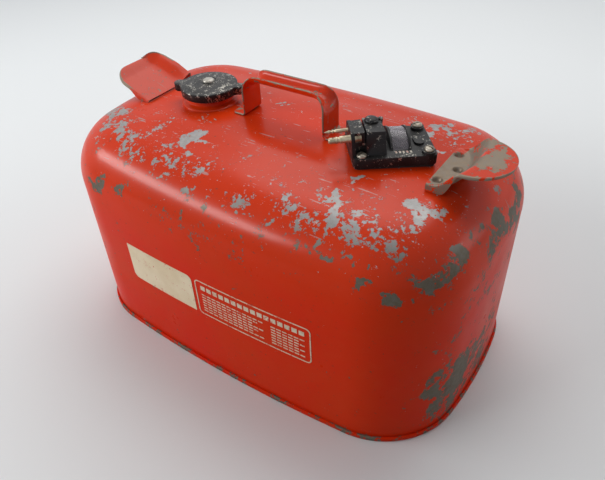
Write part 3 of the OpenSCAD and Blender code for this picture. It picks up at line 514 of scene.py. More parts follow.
def enamel(s, to, place, spots, base_field, edge_radius, worn=0.5, marks=1.0, polish=0.8):
    """Orange-red enamel over grey steel, with flakes, specks, scratches and rubbed edges."""
    look = bpy.context.scene.fuel_tank_finish
    split = s.node("ShaderNodeSeparateXYZ")
    s.link(place, split.inputs[0])
    height = split.outputs["Z"]
    high = s.math("MULTIPLY", s.ramp(height, *WEAR_RISE), marks)
    field = s.group(Finish.shared(spots[0], spots_group, *spots), Place=place).outputs["Field"]
    near = s.math("MULTIPLY", field, 0.24)
    field = s.math("MAXIMUM", field, base_field)
    edge = edge_mask(s, edge_radius, 0.25)
    rubbed = s.math("MULTIPLY", edge, s.ramp(s.noise(place, 160.0, 5.0, 0.6), 0.5 - worn * 0.3, 0.62))
    flaked = flakes(s, place, field, 52.0, 0.05)
    speck_field = s.math("ADD", s.math("MULTIPLY", high, 0.115), near)
    specks = flakes(s, s.vector("ADD", place, (0.31, 0.17, 0.05)), speck_field, 140.0, 0.08)["Mask"]
    amount = s.math("MULTIPLY", s.math("ADD", high, near), look.scratches)
    scratched = s.group(Finish.shared("scratches", scratch_group), Place=place, Amount=amount, Scale=28.0)
    fresh = s.math("MAXIMUM", specks, s.math("MULTIPLY", scratched.outputs["Mask"], 0.8))
    bare = s.math("MAXIMUM", s.math("MAXIMUM", flaked["Mask"], rubbed), fresh)
    cloud = s.noise(place, 9.0, 4.0, 0.6)
    mottle = s.noise(place, 70.0, 5.0, 0.65)
    # The walls get a deeper, darker red than the top: painted shade, and the paler top also stands for sun
    # fading.
    wall = s.ramp(height, *PAINTED_SHADE_RISE)
    wall_shade_tone = rgb([c * k for c, k in zip(look.enamel, (0.95, 0.45, 0.8))])
    cloudy = rgb([c * 0.88 for c in look.enamel])
    deep = s.mix(s.ramp(cloud, 0.35, 0.7), s.mix(wall, wall_shade_tone, rgb(look.enamel)), cloudy)
    coat = s.mix(s.ramp(mottle, 0.5, 0.85, 0.0, 0.3), deep, rgb(look.enamel_faded))
    dust = s.ramp(s.noise(place, 260.0, 4.0, 0.7), 0.645, 0.70)
    coat = s.mix(s.math("MULTIPLY", dust, 0.75), coat, rgb(look.rust))
    grain = s.ramp(s.noise(place, 210.0, 6.0, 0.7), 0.35, 0.7)
    # Bare steel: pale on the top as painted light, dark olive on the walls as painted shade.
    metal = s.mix(s.ramp(height, *STEEL_LIGHT_RISE), rgb(look.steel_wall_shaded), rgb(look.steel))
    if marks < 1.0:
        metal = rgb(look.steel_brown)
    metal = s.mix(s.math("MULTIPLY", grain, 0.5), metal, rgb([c * 0.5 for c in look.steel]))
    stain = s.ramp(s.noise(place, 36.0, 5.0, 0.7), 0.55, 0.75, 0.0, 0.4)
    metal = s.mix(stain, metal, rgb(look.rust))
    lately = s.math("SUBTRACT", fresh, flaked["Mask"], True)
    metal = s.mix(s.math("MULTIPLY", lately, 0.7), metal, rgb(look.bright))
    rim = s.math("MULTIPLY", flaked["Edge"], s.math("SUBTRACT", 1.0, bare))
    coat = s.mix(s.math("MULTIPLY", rim, 0.3), coat, rgb(look.rust))
    to["Specular IOR Level"].default_value = 0.05
    to["Coat Roughness"].default_value = 0.2
    polished = s.ramp(height, *GLOSS_RISE, 0.0, polish)
    s.link(s.math("MULTIPLY", polished, s.math("SUBTRACT", 1.0, bare)), to["Coat Weight"])
    s.link(s.mix(bare, coat, metal), to["Base Color"])
    gloss = s.ramp(s.noise(place, 24.0, 5.0, 0.6), 0.3, 0.75, look.gloss, look.gloss + 0.14)
    s.link(s.blend(bare, gloss, s.ramp(mottle, 0.3, 0.7, 0.40, 0.58)), to["Roughness"])
    s.link(s.math("MULTIPLY", bare, s.ramp(height, *METAL_RISE, 0.2, 0.5)), to["Metallic"])
    film = s.math("MULTIPLY", bare, -1.0)
    soft = s.bump(s.noise(place, 14.0, 2.0, 0.4), 0.12, 0.004)
    fine = s.bump(s.noise(place, 420.0, 2.0, 0.5), 0.04, 0.0004, soft)
    s.link(s.bump(film, 0.5, 0.0002, fine), to["Normal"])


def black_paint(s, to, place, wear, grain, edge_radius, level):
    """Black paint, lightened where it faces up as painted light, slightly crinkled, rubbed to bright metal on
    its edges.
    """
    edge = edge_mask(s, edge_radius, 0.3)
    ragged = s.ramp(s.noise(place, 190.0, 6.0, 0.7), 0.62 - wear * 0.3, 0.66)
    chips = flakes(s, place, 0.22 + wear * 0.2, 150.0)["Mask"]
    bare = s.math("MAXIMUM", s.math("MULTIPLY", edge, ragged), chips)
    clouds = s.ramp(s.noise(place, 55.0, 5.0, 0.65), 0.35, 0.7)
    tone = s.mix(clouds, rgb((0.008, 0.008, 0.009)), rgb((0.022, 0.021, 0.022)))
    # Up-facing faces are painted a lighter grey, as painted light from above; level sets how light.
    facing = s.node("ShaderNodeSeparateXYZ")
    s.link(s.node("ShaderNodeNewGeometry").outputs["Normal"], facing.inputs[0])
    patchy_top_light = s.cloud(place, 90.0, 5.0, 0.65, 0.35, 1.0)
    up = s.ramp(facing.outputs["Z"], 0.6, 0.98, 0.0, patchy_top_light)
    tone = s.mix(up, tone, rgb([0.024 * level, 0.023 * level, 0.022 * level]))
    tarnish = s.cloud(place, 260.0, 4.0, 0.7)
    metal = s.mix(tarnish, rgb((0.46, 0.44, 0.39)), rgb((0.22, 0.20, 0.17)))
    s.link(s.mix(bare, tone, metal), to["Base Color"])
    matt = s.cloud(place, 120.0, 4.0, 0.6, 0.30, 0.52)
    s.link(s.blend(bare, matt, 0.36), to["Roughness"])
    s.link(s.math("MULTIPLY", bare, 0.8), to["Metallic"])
    to["Specular IOR Level"].default_value = 0.22
    s.link(s.bump(s.noise(place, grain, 3.0, 0.6), 0.25, 0.0003), to["Normal"])


def bare_metal(s, to, place, light, dark, rough, metallic, grain=300.0, edge_radius=0.6):
    """Dull plated or turned metal with stains and brighter edges."""
    stain = s.ramp(s.noise(place, grain * 0.35, 5.0, 0.68), 0.38, 0.68)
    tone = s.mix(stain, rgb(light), rgb(dark))
    edge = edge_mask(s, edge_radius, 0.4)
    tone = s.mix(s.math("MULTIPLY", edge, 0.5), tone, rgb([min(1.0, c * 1.35) for c in light]))
    s.link(tone, to["Base Color"])
    s.link(s.cloud(place, grain, 4.0, 0.6, rough - 0.08, rough + 0.14), to["Roughness"])
    s.link(s.ramp(stain, 0.0, 1.0, metallic, metallic * 0.7), to["Metallic"])
    s.link(s.bump(s.noise(place, grain * 2.0, 3.0, 0.6), 0.12, 0.0002), to["Normal"])


def soft_stuff(s, to, place, light, dark, rough, grain, depth):
    """Rubber, cork and other dull stuff with a grain."""
    tone = s.mix(s.ramp(s.noise(place, grain, 6.0, 0.7), 0.32, 0.7), rgb(light), rgb(dark))
    s.link(tone, to["Base Color"])
    matt = s.cloud(place, grain * 0.4, 3.0, 0.5, rough - 0.08, rough + 0.06)
    s.link(matt, to["Roughness"])
    s.link(s.bump(s.noise(place, grain * 1.6, 4.0, 0.65), 0.4, depth * MM), to["Normal"])


def clear_window(s, to, place):
    """Clear moulded plastic, a little scuffed."""
    haze = s.ramp(s.noise(place, 150.0, 4.0, 0.6), 0.4, 0.8)
    s.link(s.mix(haze, rgb((0.62, 0.58, 0.62)), rgb((0.42, 0.39, 0.42))), to["Base Color"])
    s.link(s.ramp(s.noise(place, 380.0, 5.0, 0.7), 0.45, 0.8, 0.10, 0.4), to["Roughness"])
    to["Transmission Weight"].default_value = 0.78
    to["IOR"].default_value = 1.35


def printed(s, to, place, ink, dirt):
    """Screen-printed label stock with rubbed spots and yellowing."""
    flaked = flakes(s, place, dirt, 130.0)
    yellowed = rgb([c * k for c, k in zip(ink, (0.86, 0.80, 0.70))])
    tone = s.mix(s.ramp(s.noise(place, 40.0, 5.0, 0.6), 0.35, 0.75), rgb(ink), yellowed)
    below = rgb([c * 0.8 for c in bpy.context.scene.fuel_tank_finish.enamel])
    s.link(s.mix(s.math("MULTIPLY", flaked["Mask"], 0.8), tone, below), to["Base Color"])
    s.link(s.cloud(place, 90.0, 4.0, 0.6, 0.34, 0.5), to["Roughness"])
    s.link(s.bump(s.noise(place, 500.0, 3.0, 0.6), 0.1, 0.0002), to["Normal"])


NO_SPOTS = ("no spots", ((0, 0, -900, 1, 1, 1, 0.0),))
HOOK_SPOTS = ("hook spots", ((172, 0, 234, 42, 48, 20, 1.0), (197, 4, 246, 26, 36, 16, 0.92),
                             (-178, 3, 245, 7, 8, 8, 0.75), (-160, -12, 233, 6, 8, 8, 0.7)))
HANDLE_SPOTS = ("handle spots", ((-20, -13, 270, 30, 5, 8, 0.62), (50, 0, 268, 10, 14, 12, 0.5),
                                 (-52, -6, 233, 9, 12, 5, 0.75), (58, 4, 233, 9, 12, 5, 0.7)))


def tank_enamel():
    spots = ("tank spots", TANK_SPOTS)
    return Finish.get("tank_enamel", enamel, spots, look_value("wear"), 3.0, 0.2, 1.0, 0.34)


def hook_enamel():
    return Finish.get("hook_enamel", enamel, HOOK_SPOTS, 0.14, 0.7, 0.6, 0.6, 0.4)


def handle_enamel():
    return Finish.get("handle_enamel", enamel, HANDLE_SPOTS, 0.10, 0.6, 0.6, 0.6, 0.4)


def worn_rim():
    return Finish.get("worn_rim", enamel, NO_SPOTS, 0.66, 0.6, 0.9, 0.5, 0.2)


def neck_enamel():
    return Finish.get("neck_enamel", enamel, NO_SPOTS, 0.12, 0.6, 0.4, 0.3, 0.4)


def zinc():
    return Finish.get("dull_zinc", bare_metal, (0.50, 0.48, 0.43), (0.26, 0.24, 0.20), 0.42, 0.85)


def brass():
    return Finish.get("tarnished_brass", bare_metal, (0.56, 0.48, 0.34), (0.20, 0.16, 0.10), 0.36, 0.9)


def inner_steel():
    return Finish.get("plain_steel", bare_metal, (0.46, 0.45, 0.43), (0.27, 0.24, 0.20), 0.45, 0.9)


def look_value(name):
    return getattr(bpy.context.scene.fuel_tank_finish, name)


# ---------------------------------------------------------------- properties


class FuelTankFinish(bpy.types.PropertyGroup):
    """Colours and wear of the painted pieces."""

    enamel: FloatVectorProperty(name="Enamel", description="Colour of the sound enamel", subtype="COLOR",
                                default=(0.67, 0.038, 0.003), min=0.0, max=1.0)
    enamel_faded: FloatVectorProperty(name="Faded enamel", description="Colour of chalked, faded enamel",
                                      subtype="COLOR", default=(0.64, 0.045, 0.014), min=0.0, max=1.0)
    # The top's bare steel is given pale as painted light.
    steel: FloatVectorProperty(name="Bare steel", description="Colour of the steel that shows on the top",
                               subtype="COLOR", default=(0.38, 0.37, 0.36), min=0.0, max=1.0)
    # The walls' bare steel is given dark as painted shade.
    steel_wall_shaded: FloatVectorProperty(name="Shaded steel", subtype="COLOR",
                                    description="Colour of the steel that shows on the sides",
                                    default=(0.125, 0.105, 0.072), min=0.0, max=1.0)
    steel_brown: FloatVectorProperty(name="Browned steel", subtype="COLOR",
                                     description="Colour of the steel of the hooks and handle",
                                     default=(0.24, 0.185, 0.13), min=0.0, max=1.0)
    bright: FloatVectorProperty(name="Fresh scratches", description="Colour of fresh specks and scratches",
                                subtype="COLOR", default=(0.50, 0.45, 0.42), min=0.0, max=1.0)
    rust: FloatVectorProperty(name="Rust", description="Colour of rust and grime", subtype="COLOR",
                              default=(0.10, 0.055, 0.035), min=0.0, max=1.0)
    wear: FloatProperty(name="Wear", description="Paint lost outside the worst patches", default=0.05,
                        min=0.0, max=1.0, subtype="FACTOR")
    scratches: FloatProperty(name="Scratches", description="Density of fine scratches", default=0.45,
                             min=0.0, max=1.0, subtype="FACTOR")
    gloss: FloatProperty(name="Gloss roughness", description="Roughness of the cleanest enamel", default=0.27,
                         min=0.0, max=1.0, subtype="FACTOR")


class FuelTankForm(bpy.types.PropertyGroup):
    """Small sizes of the visual pieces."""

    edge_round: FloatProperty(name="Edge rounding", description="Rounding of the casting's edges",
                              default=0.0007, min=0.0001, max=0.002, unit="LENGTH")
    label_lift: FloatProperty(name="Label thickness", description="How far a label stands off the wall",
                              default=0.0003, min=0.0001, max=0.001, unit="LENGTH")


# ---------------------------------------------------------------- operators


class Builder:
    """Common settings of every operator that makes a piece."""

    bl_options = {"REGISTER", "UNDO"}

    def execute(self, context):
        self.build(context.scene)
        return {"FINISHED"}


BOX_FACES = ((3, 2, 1, 0), (4, 5, 6, 7), (0, 1, 5, 4), (1, 2, 6, 5), (2, 3, 7, 6), (3, 0, 4, 7))


def hole_cutter(r, low, high, place):
    return lathe([(0, low), (r, low), (r, high), (0, high)], 96, place=place)


class OBJECT_OT_tank_body(Builder, bpy.types.Operator):
    """Draws the tank's shell as a smooth double-walled skin with its two openings"""

    bl_idname = "fuel_tank.tank_body"
    bl_label = "Tank Body"

    def upper(self, inset, shoulder_steps=26, crown_steps=10):
        rings = []
        r = SHOULDER_R - inset
        for i in range(shoulder_steps + 1):
            a = math.pi / 2 * i / shoulder_steps
            rings.append(ring(TOP_INSET - r * math.cos(a), SHOULDER_H - SHOULDER_R + r * math.sin(a)))
        for i in range(1, crown_steps):
            s = 1 - i / crown_steps
            rings.append(ring(TOP_INSET, crown_z(s) - inset, s))
        return rings

    def build(self, scene):
        flange = SEAM_H - 2
        wall_foot = flange + SHEET
        wall_h = SHOULDER_H - SHOULDER_R - wall_foot
        wall = [ring(SEAM_OUT, wall_foot + wall_h * t) for t in (0.0, 0.02, 0.5)]
        outer = [ring(1.0, flange), ring(1.0, wall_foot)] + wall + self.upper(0)
        inner = [ring(SEAM_OUT + SHEET, flange)] + self.upper(SHEET)
        rings = list(reversed(inner)) + outer
        verts, faces = loft(rings, (0, 0, crown_z(0) - SHEET), (0, 0, crown_z(0)))
        body = new_mesh_object("tank_body", verts, faces)
        outward(body)
        neck = hole_cutter(NECK["r"] + LAY_GAP, 200, 260, Matrix.Translation((-NECK["x"], 0, 0)))
        with_hole(body, *neck)
        with_hole(body, *hole_cutter(METER_HOLE_R, -30, 30, METER_PLACE))
        for sx in (-1, 1):
            for sy in (-1, 1):
                at = METER_PLACE @ Matrix.Translation((sx * SCREW_AT[0], sy * SCREW_AT[1], 0))
                with_hole(body, *hole_cutter(3.0, -12, 6, at))
        finish_piece(body, "tank", tank_enamel(), ("tank_shell",), "tank_shell", 50)


class OBJECT_OT_base_pan(Builder, bpy.types.Operator):
    """Rolls the base pan's rim over the shell's flange and closes the floor"""

    bl_idname = "fuel_tank.base_pan"
    bl_label = "Base Pan"

    def build(self, scene):
        well, flange = SEAM_OUT + SHEET + LAY_GAP + SHEET, SEAM_H - 2
        profile = [(well + 14.5, FLOOR_Z), (well + 1.2, FLOOR_Z), (well + 0.2, FLOOR_Z - 0.4),
                   (well, FLOOR_Z - 1.2), (well, 0.9), (well - 0.3, 0.3), (well - 0.9, 0),
                   (0.9, 0), (0.3, 0.3), (0, 0.9), (0, SEAM_H - 1.1), (0.3, SEAM_H - 0.3),
                   (0.9, SEAM_H), (SEAM_OUT - 0.5, SEAM_H), (SEAM_OUT - 0.1, SEAM_H - 0.3),
                   (SEAM_OUT - 0.1, flange + SHEET + 0.1), (0.9, flange + SHEET + 0.1), (0.9, flange - 0.1),
                   (well - SHEET, flange - 0.1), (well - SHEET, FLOOR_Z + SHEET)]
        bead = [(46 + 14.0 * (1 - math.cos(a)) / 2, FLOOR_Z + SHEET + 0.5 * math.sin(a)) for a in
                [math.pi * i / 6 for i in range(7)]]
        rings = [ring(inset, z) for inset, z in profile + bead]
        verts, faces = loft(rings, (0, 0, FLOOR_Z), (0, 0, FLOOR_Z + SHEET))
        pan = new_mesh_object("base_pan", verts, faces)
        outward(pan)
        rim = Finish.get("rim_enamel", enamel, ("rim spots", ((0, 0, 0, 260, 170, 9, 0.52),)), 0.45, 0.8, 0.8)
        finish_piece(pan, "tank", rim, ("bottom_pan",), "bottom_pan", 50)


class OBJECT_OT_carry_handle(Builder, bpy.types.Operator):
    """Sweeps the strap along feet, legs and grip, with its edges rolled up over the grip"""

    bl_idname = "fuel_tank.carry_handle"
    bl_label = "Carry Handle"

    def half_path(self):
        h = HANDLE
        leg, rest = h["span"] / 2, 0.6
        foot_z = top_z(h["x"] + leg) + h["t"] / 2 + LAY_GAP
        grip_z = crown_z(0) + h["rise"]
        corner = 3.0
        path = []
        for d in (0.0, 0.25, 0.8, 1.6, 3.0):
            narrow = corner - math.sqrt(max(0.0, corner ** 2 - (corner - d) ** 2))
            path.append((-leg - h["foot"] + d, foot_z, 0, rest, narrow))
        path.append((-leg - 5.0, foot_z, 0, rest, 0.0))
        for i in range(9):
            a = math.radians(-90 + 90 * i / 8)
            path.append((-leg - 3 + 3 * math.cos(a), foot_z + 3 + 3 * math.sin(a), 90 * i / 8, rest, 0.0))
        for t in (0.35, 0.7):
            path.append((-leg, foot_z + 3 + t * (grip_z - h["bend"] - foot_z - 3), 90, rest, 0.0))
        for i in range(19):
            t = i / 18
            a = math.radians(180 - 90 * t)
            roll = rest + (h["roll"] * 0.94 - rest) * t * t * (3 - 2 * t)
            path.append((-leg + h["bend"] + h["bend"] * math.cos(a),
                         grip_z - h["bend"] + h["bend"] * math.sin(a), 90 - 90 * t, roll, 0.0))
        for d, k in ((1.5, 0.97), (3.0, 0.99), (4.5, 1.0), (18.0, 1.0)):
            path.append((-leg + h["bend"] + d, grip_z, 0, h["roll"] * k, 0.0))
        return path

    def section(self, x, z, heading, roll, narrow):
        h = HANDLE
        half, t = h["w"] / 2, h["t"]
        flat = half - narrow - t * 0.42
        rim = [(flat + t * 0.42 * math.cos(a), t / 2 * math.sin(a)) for a in
               [math.pi / 2 - math.pi * i / 6 for i in range(7)]]
        steps = 22
        across = rim + [(flat - 2 * flat * i / steps, -t / 2) for i in range(1, steps)]
        across += [(-s, -o) for s, o in rim]
        across += [(-flat + 2 * flat * i / steps, t / 2) for i in range(1, steps)]
        r = half / math.radians(roll)
        up = math.radians(heading + 90)
        out = []
        for s, o in across:
            phi = s / r
            rise = r - (r - o) * math.cos(phi)
            out.append((h["x"] + x + rise * math.cos(up), (r - o) * math.sin(phi), z + rise * math.sin(up)))
        return out

    def build(self, scene):
        half = self.half_path()
        whole = half + [(-x, z, -a, roll, narrow) for x, z, a, roll, narrow in reversed(half)]
        verts, faces = loft([self.section(*at) for at in whole], True, True)
        handle = new_mesh_object("carrying_handle", verts, faces)
        n = len(self.section(*whole[0]))
        for k in (*range(6), *range(n // 2, n // 2 + 6)):
            for i in range(len(whole) - 1):
                handle.data.polygons[i * n + k].material_index = 1
        outward(handle)
        finish_piece(handle, "tank", (handle_enamel(), worn_rim()), ("carry_handle",), "carry_handle", 60)


class OBJECT_OT_hose_hooks(Builder, bpy.types.Operator):
    """Presses the two dished hooks, with turned-down sides and weld cups"""

    bl_idname = "fuel_tank.hose_hooks"
    bl_label = "Hose Hooks"

    def ease(self, t):
        c = max(0.0, min(1.0, t))
        return c * c * (3 - 2 * c)

    def right_top(self, u, v):
        ramp = self.ease((math.hypot(u - DISH["x"], DISH["squash"] * v) - DISH["flat"]) / DISH["ramp"])
        z = SHOULDER_H + HOOK["base"] + HOOK["wing"] * ramp
        for cx, cy in CUPS:
            z -= CUP["depth"] * self.ease((CUP["r"] - math.hypot(u - cx, v - cy)) / CUP["wall"])
        return z

    def left_top(self, u, v):
        b = BENT
        grown = b["side_least"] + (1 - b["side_least"]) * self.ease(u / b["side_grow"])
        side = b["side"] * self.ease((v - b["side_at"]) / b["side_ramp"]) * grown
        lip = b["lip"] * self.ease((u - b["l"] + b["lip_l"]) / b["lip_l"])
        return SHOULDER_H + b["rise"] + b["slope"] * u + side + lip

    def side_line(self, u, half, top, foot):
        """One side: from its foot up and over the fold to the flat sheet."""
        edge = top(u, half)
        fade = self.ease((u - FOLD["fade_at"]) / FOLD["fade"])
        deep = (edge - foot) * (1 - fade) + (HOOK["t"] + FOLD["lip"]) * fade
        fold = min(FOLD["r"], abs(half) / FOLD["share"])
        line = [(half, edge - deep + (deep - fold) * i / 4) for i in range(4)]
        for i in range(5):
            a = math.pi / 2 * i / 4
            inwards = math.copysign(fold * (1 - math.cos(a)), half)
            line.append((half - inwards, edge - fold + fold * math.sin(a)))
        return line

    def station(self, u, half, top, foot, steps=68):
        """One line across the sheet, from the foot of one side over the top to the other foot."""
        inner = half - min(FOLD["r"], half / FOLD["share"])
        across = [inner - 2 * inner * i / steps for i in range(1, steps)]
        line = self.side_line(u, half, top, foot) + [(v, top(u, v)) for v in across]
        line += reversed(self.side_line(u, -half, top, foot))
        return [(u, v, z) for v, z in line]

    def stations(self, length, corner, narrow):
        half, straight = HOOK["w"] / 2, length - corner
        count = int(straight / 1.1)
        rows = [(straight * i / count, half - narrow * self.ease((i / count - 0.6) / 0.4))
                for i in range(count)]
        for a in (*range(0, 84, 3), 84, 86, 87.5):
            turn = math.radians(a)
            rows.append((straight + corner * math.sin(turn),
                         half - narrow - corner + corner * math.cos(turn)))
        return rows

    def sheet(self, name, side, start, stations, top):
        rows = [self.station(u, half, top, band_z(start) + LAY_GAP) for u, half in stations]
        n = len(rows[0])
        faces = [(i * n + k, i * n + k + 1, (i + 1) * n + k + 1, (i + 1) * n + k)
                 for i in range(len(rows) - 1) for k in range(n - 1)]
        verts = [(side * (start + u), v, z) for row in rows for u, v, z in row]
        hook = new_mesh_object(name.replace("hose_hook", "hook_sheet"), verts, faces)
        for index, polygon in enumerate(hook.data.polygons):
            row, k = divmod(index, n - 1)
            fold = k < 9 or k >= n - 10
            if fold and rows[row][0][0] > 22 or row > len(rows) - 4:
                polygon.material_index = 1
        outward(hook)
        if sum(p.normal.z * p.area for p in hook.data.polygons) < 0:
            hook.data.flip_normals()
        finishes = (hook_enamel(), worn_rim())
        for finish in finishes:
            hook.data.materials.append(finish)
        wall = hook.modifiers.new("sheet", "SOLIDIFY")
        wall.thickness = HOOK["t"] * MM
        wall.offset = -1.0
        wall.material_offset_rim = 1
        finish_piece(hook, "tank", finishes, (name,), name, 50)

    def build(self, scene):
        start = TANK_L / 2 - HOOK["inset"]
        self.sheet("right_hose_hook", 1, start, self.stations(HOOK["l"], HOOK["w"] / 2, 0.0), self.right_top)
        self.sheet("left_hose_hook", -1, start - HOOK["drawn_in"],
                   self.stations(BENT["l"], BENT["corner"], 1.0), self.left_top)


class OBJECT_OT_filler_neck(Builder, bpy.types.Operator):
    """Turns the filler neck with its bead and notched rim"""

    bl_idname = "fuel_tank.filler_neck"
    bl_label = "Filler Neck"

    def build(self, scene):
        softened("neck_ring", "filler_neck", "tank", neck_enamel(), 0.35, 2, 40)


class OBJECT_OT_filler_cap(Builder, bpy.types.Operator):
    """Presses the lugged cap and sets the rivet, bar, spring, disc and gasket"""

    bl_idname = "fuel_tank.filler_cap"
    bl_label = "Filler Cap"

    def edge_ring(self, inset, z, steps=9):
        """The cap's outline as arcs: the round body, and two lugs that run into it with fillets."""
        r, lug, fillet = CAP["r"], CAP["lug_w"] / 2, CAP["fillet"]
        lug_x, fy = r + CAP["lug_out"] - lug, lug + fillet
        fx = math.sqrt((r + fillet) ** 2 - fy ** 2)
        turn = math.atan2(fy, fx)
        half = []
        for cx, cy, radius, start, end, n in ((lug_x, 0, lug - inset, 0, math.pi / 2, steps),
                                              (fx, fy, fillet + inset, -math.pi / 2, turn - math.pi, steps),
                                              (0, 0, r - inset, turn, math.pi / 2, steps * 3)):
            half += [(cx + radius * math.cos(start + (end - start) * i / n),
                      cy + radius * math.sin(start + (end - start) * i / n)) for i in range(n + 1)]
        back = [(-x, y) for x, y in reversed(half[:-1])]
        upper = half + back
        return [(x, y, z) for x, y in upper + [(x, -y) for x, y in reversed(upper[1:-1])]]

    def round_ring(self, r, z):
        return [(r * math.cos(math.atan2(y, x)), r * math.sin(math.atan2(y, x)), z)
                for x, y, _ in self.edge_ring(0, 0)]

    def build(self, scene):
        top, sheet = CAP_TOP, CAP["sheet"]
        edge = top - CAP["drop"]
        low = edge - CAP["skirt"]
        r = CAP["r"]
        rings = [self.round_ring(4.0, top - sheet), self.round_ring(r - 9, top - sheet),
                 self.round_ring(r - 5, edge - sheet),
                 self.edge_ring(sheet + 0.3, edge - sheet - 0.1), self.edge_ring(sheet, edge - sheet - 0.6),
                 self.edge_ring(sheet, low + 0.2), self.edge_ring(sheet - 0.3, low), self.edge_ring(0.3, low),
                 self.edge_ring(0, low + 0.3), self.edge_ring(0, edge - 1.2)]
        for i in range(1, 7):
            a = math.pi / 2 * i / 6
            rings.append(self.edge_ring(1.2 - 1.2 * math.cos(a), edge - 1.2 + 1.2 * math.sin(a)))
        for in_r, z in ((2.2, 0.06), (3.4, 0.22), (5.0, 0.52), (6.6, 0.88), (8.0, 1.12), (9.5, 1.27),
                        (12.0, 1.42), (r - 14.0, 1.7), (r - 11.0, 1.86), (r - 10.2, 1.88), (r - 9.4, 1.84),
                        (r - 9.0, 1.6), (r - 8.6, 1.4), (r - 6.8, 1.4), (r - 6.4, 1.6), (r - 6.1, 1.84),
                        (r - 5.6, 1.88), (r - 3.0, 1.9)):
            rings.append(self.round_ring(r - in_r, edge + z))
        verts, faces = loft(rings, (0, 0, top - sheet), (0, 0, top + CAP["dome"]))
        place = Matrix.Translation((-NECK["x"], 0, 0)) @ Matrix.Rotation(math.radians(CAP["turn"]), 4, "Z")
        cap = new_mesh_object("cap_cover", [tuple(place @ Vector(v)) for v in verts], faces)
        outward(cap)
        # Level 2.2 paints the cap's up-facing top lighter as painted light from above.
        paint = Finish.get("cap_black", black_paint, 0.5, 520.0, 1.2, 2.2)
        finish_piece(cap, "filler_cap", paint, ("cap_shell",), "cap_shell", 50)
        head = top + CAP["dome"] + LAY_GAP / 2
        bar_z = SHOULDER_H + NECK["rise"] - NECK["wall"] - 3.2
        r = CAP["rivet"]
        profile = [(0, bar_z - 1), (r + 0.9, bar_z - 1), (r + 1.4, bar_z - 0.7), (r + 1.6, bar_z - 0.1),
                   (r, bar_z - 0.05), (r, head), (5.3, head), (5.75, head + 0.3), (5.8, head + 0.9),
                   (5.6, head + 1.6), (5.0, head + 2.2), (3.6, head + 2.5), (2.0, head + 2.62),
                   (0, head + 2.65)]
        verts, faces = lathe(profile, 64, (-NECK["x"], 0.0))
        rivet = new_mesh_object("cap_rivet_head", verts, faces)
        outward(rivet)
        finish_piece(rivet, "filler_cap", zinc(), ("cap_rivet",), "cap_rivet", 40)
        for name, node, body, width in (("cap_bar", "cap_locking_bar", "filler_cap", 0.3),
                                        ("cap_washer", "cap_spring", "filler_cap", 0.15),
                                        ("cap_disc", "cap_pressure_disc", "cap_seal", 0.15)):
            softened(name, node, body, inner_steel(), width)
        rubber = Finish.get("cap_rubber", soft_stuff, (0.045, 0.042, 0.038),
                            (0.020, 0.019, 0.018), 0.8, 220.0, 0.2)
        softened("cap_ring", "cap_gasket", "cap_seal", rubber, 0.35)


class OBJECT_OT_outlet_housing(Builder, bpy.types.Operator):
    """Softens the outlet casting, its plug and window, and the two prongs, and gives the gasket its rubber
    finish
    """

    bl_idname = "fuel_tank.outlet_housing"
    bl_label = "Outlet Housing"

    def gauge_marks(self):
        """Plain bars beside the window, where the photo has words."""
        verts, faces = [], []
        near = [(1.5 + 3.2 * i, -17.5, 1.5, 3.0) for i in range(5)]
        behind = [(0.5 + 3.0 * i, 21.5, 1.5, 3.4) for i in range(5)]
        for x, y, w, l in near + behind:
            first = len(verts)
            verts += [tuple(METER_PLACE @ Vector((x + dx * w / 2, y + dy * l / 2, METER["t"] + dz)))
                      for dz in (0.02, 0.12) for dx, dy in ((-1, -1), (1, -1), (1, 1), (-1, 1))]
            faces += [tuple(first + k for k in face) for face in BOX_FACES]
        marks = new_mesh_object("gauge_marks", verts, faces)
        outward(marks)
        white = Finish.get("mark_white", printed, (0.62, 0.58, 0.50), 0.24)
        finish_piece(marks, "tank", white, (), "meter_housing", 40)

    def build(self, scene):
        form = scene.fuel_tank_form
        paint = Finish.get("casting_black", black_paint, 0.12, 640.0, 0.7, 1.0)
        softened("outlet_casting", "meter_housing", "tank", paint, form.edge_round / MM, 3, 40)
        softened("passage_plug", "housing_plug", "tank", paint, 0.4, 2, 30)
        rubber = Finish.get("flat_gasket", soft_stuff, (0.035, 0.034, 0.032),
                            (0.016, 0.016, 0.016), 0.85, 260.0, 0.2)
        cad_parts["meter_gasket"].data.materials.clear()
        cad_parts["meter_gasket"].data.materials.append(rubber)
        window = Finish.get("clear_window", clear_window)
        self.gauge_marks()
        softened("gauge_window", "gauge_lens", "tank", window, 0.3, 2, 40)
        softened("fuel_prong_turned", "fuel_prong", "tank", brass(), 0.15, 2, 30)
        softened("locating_prong_turned", "locating_prong", "tank", brass(), 0.12, 2, 30)


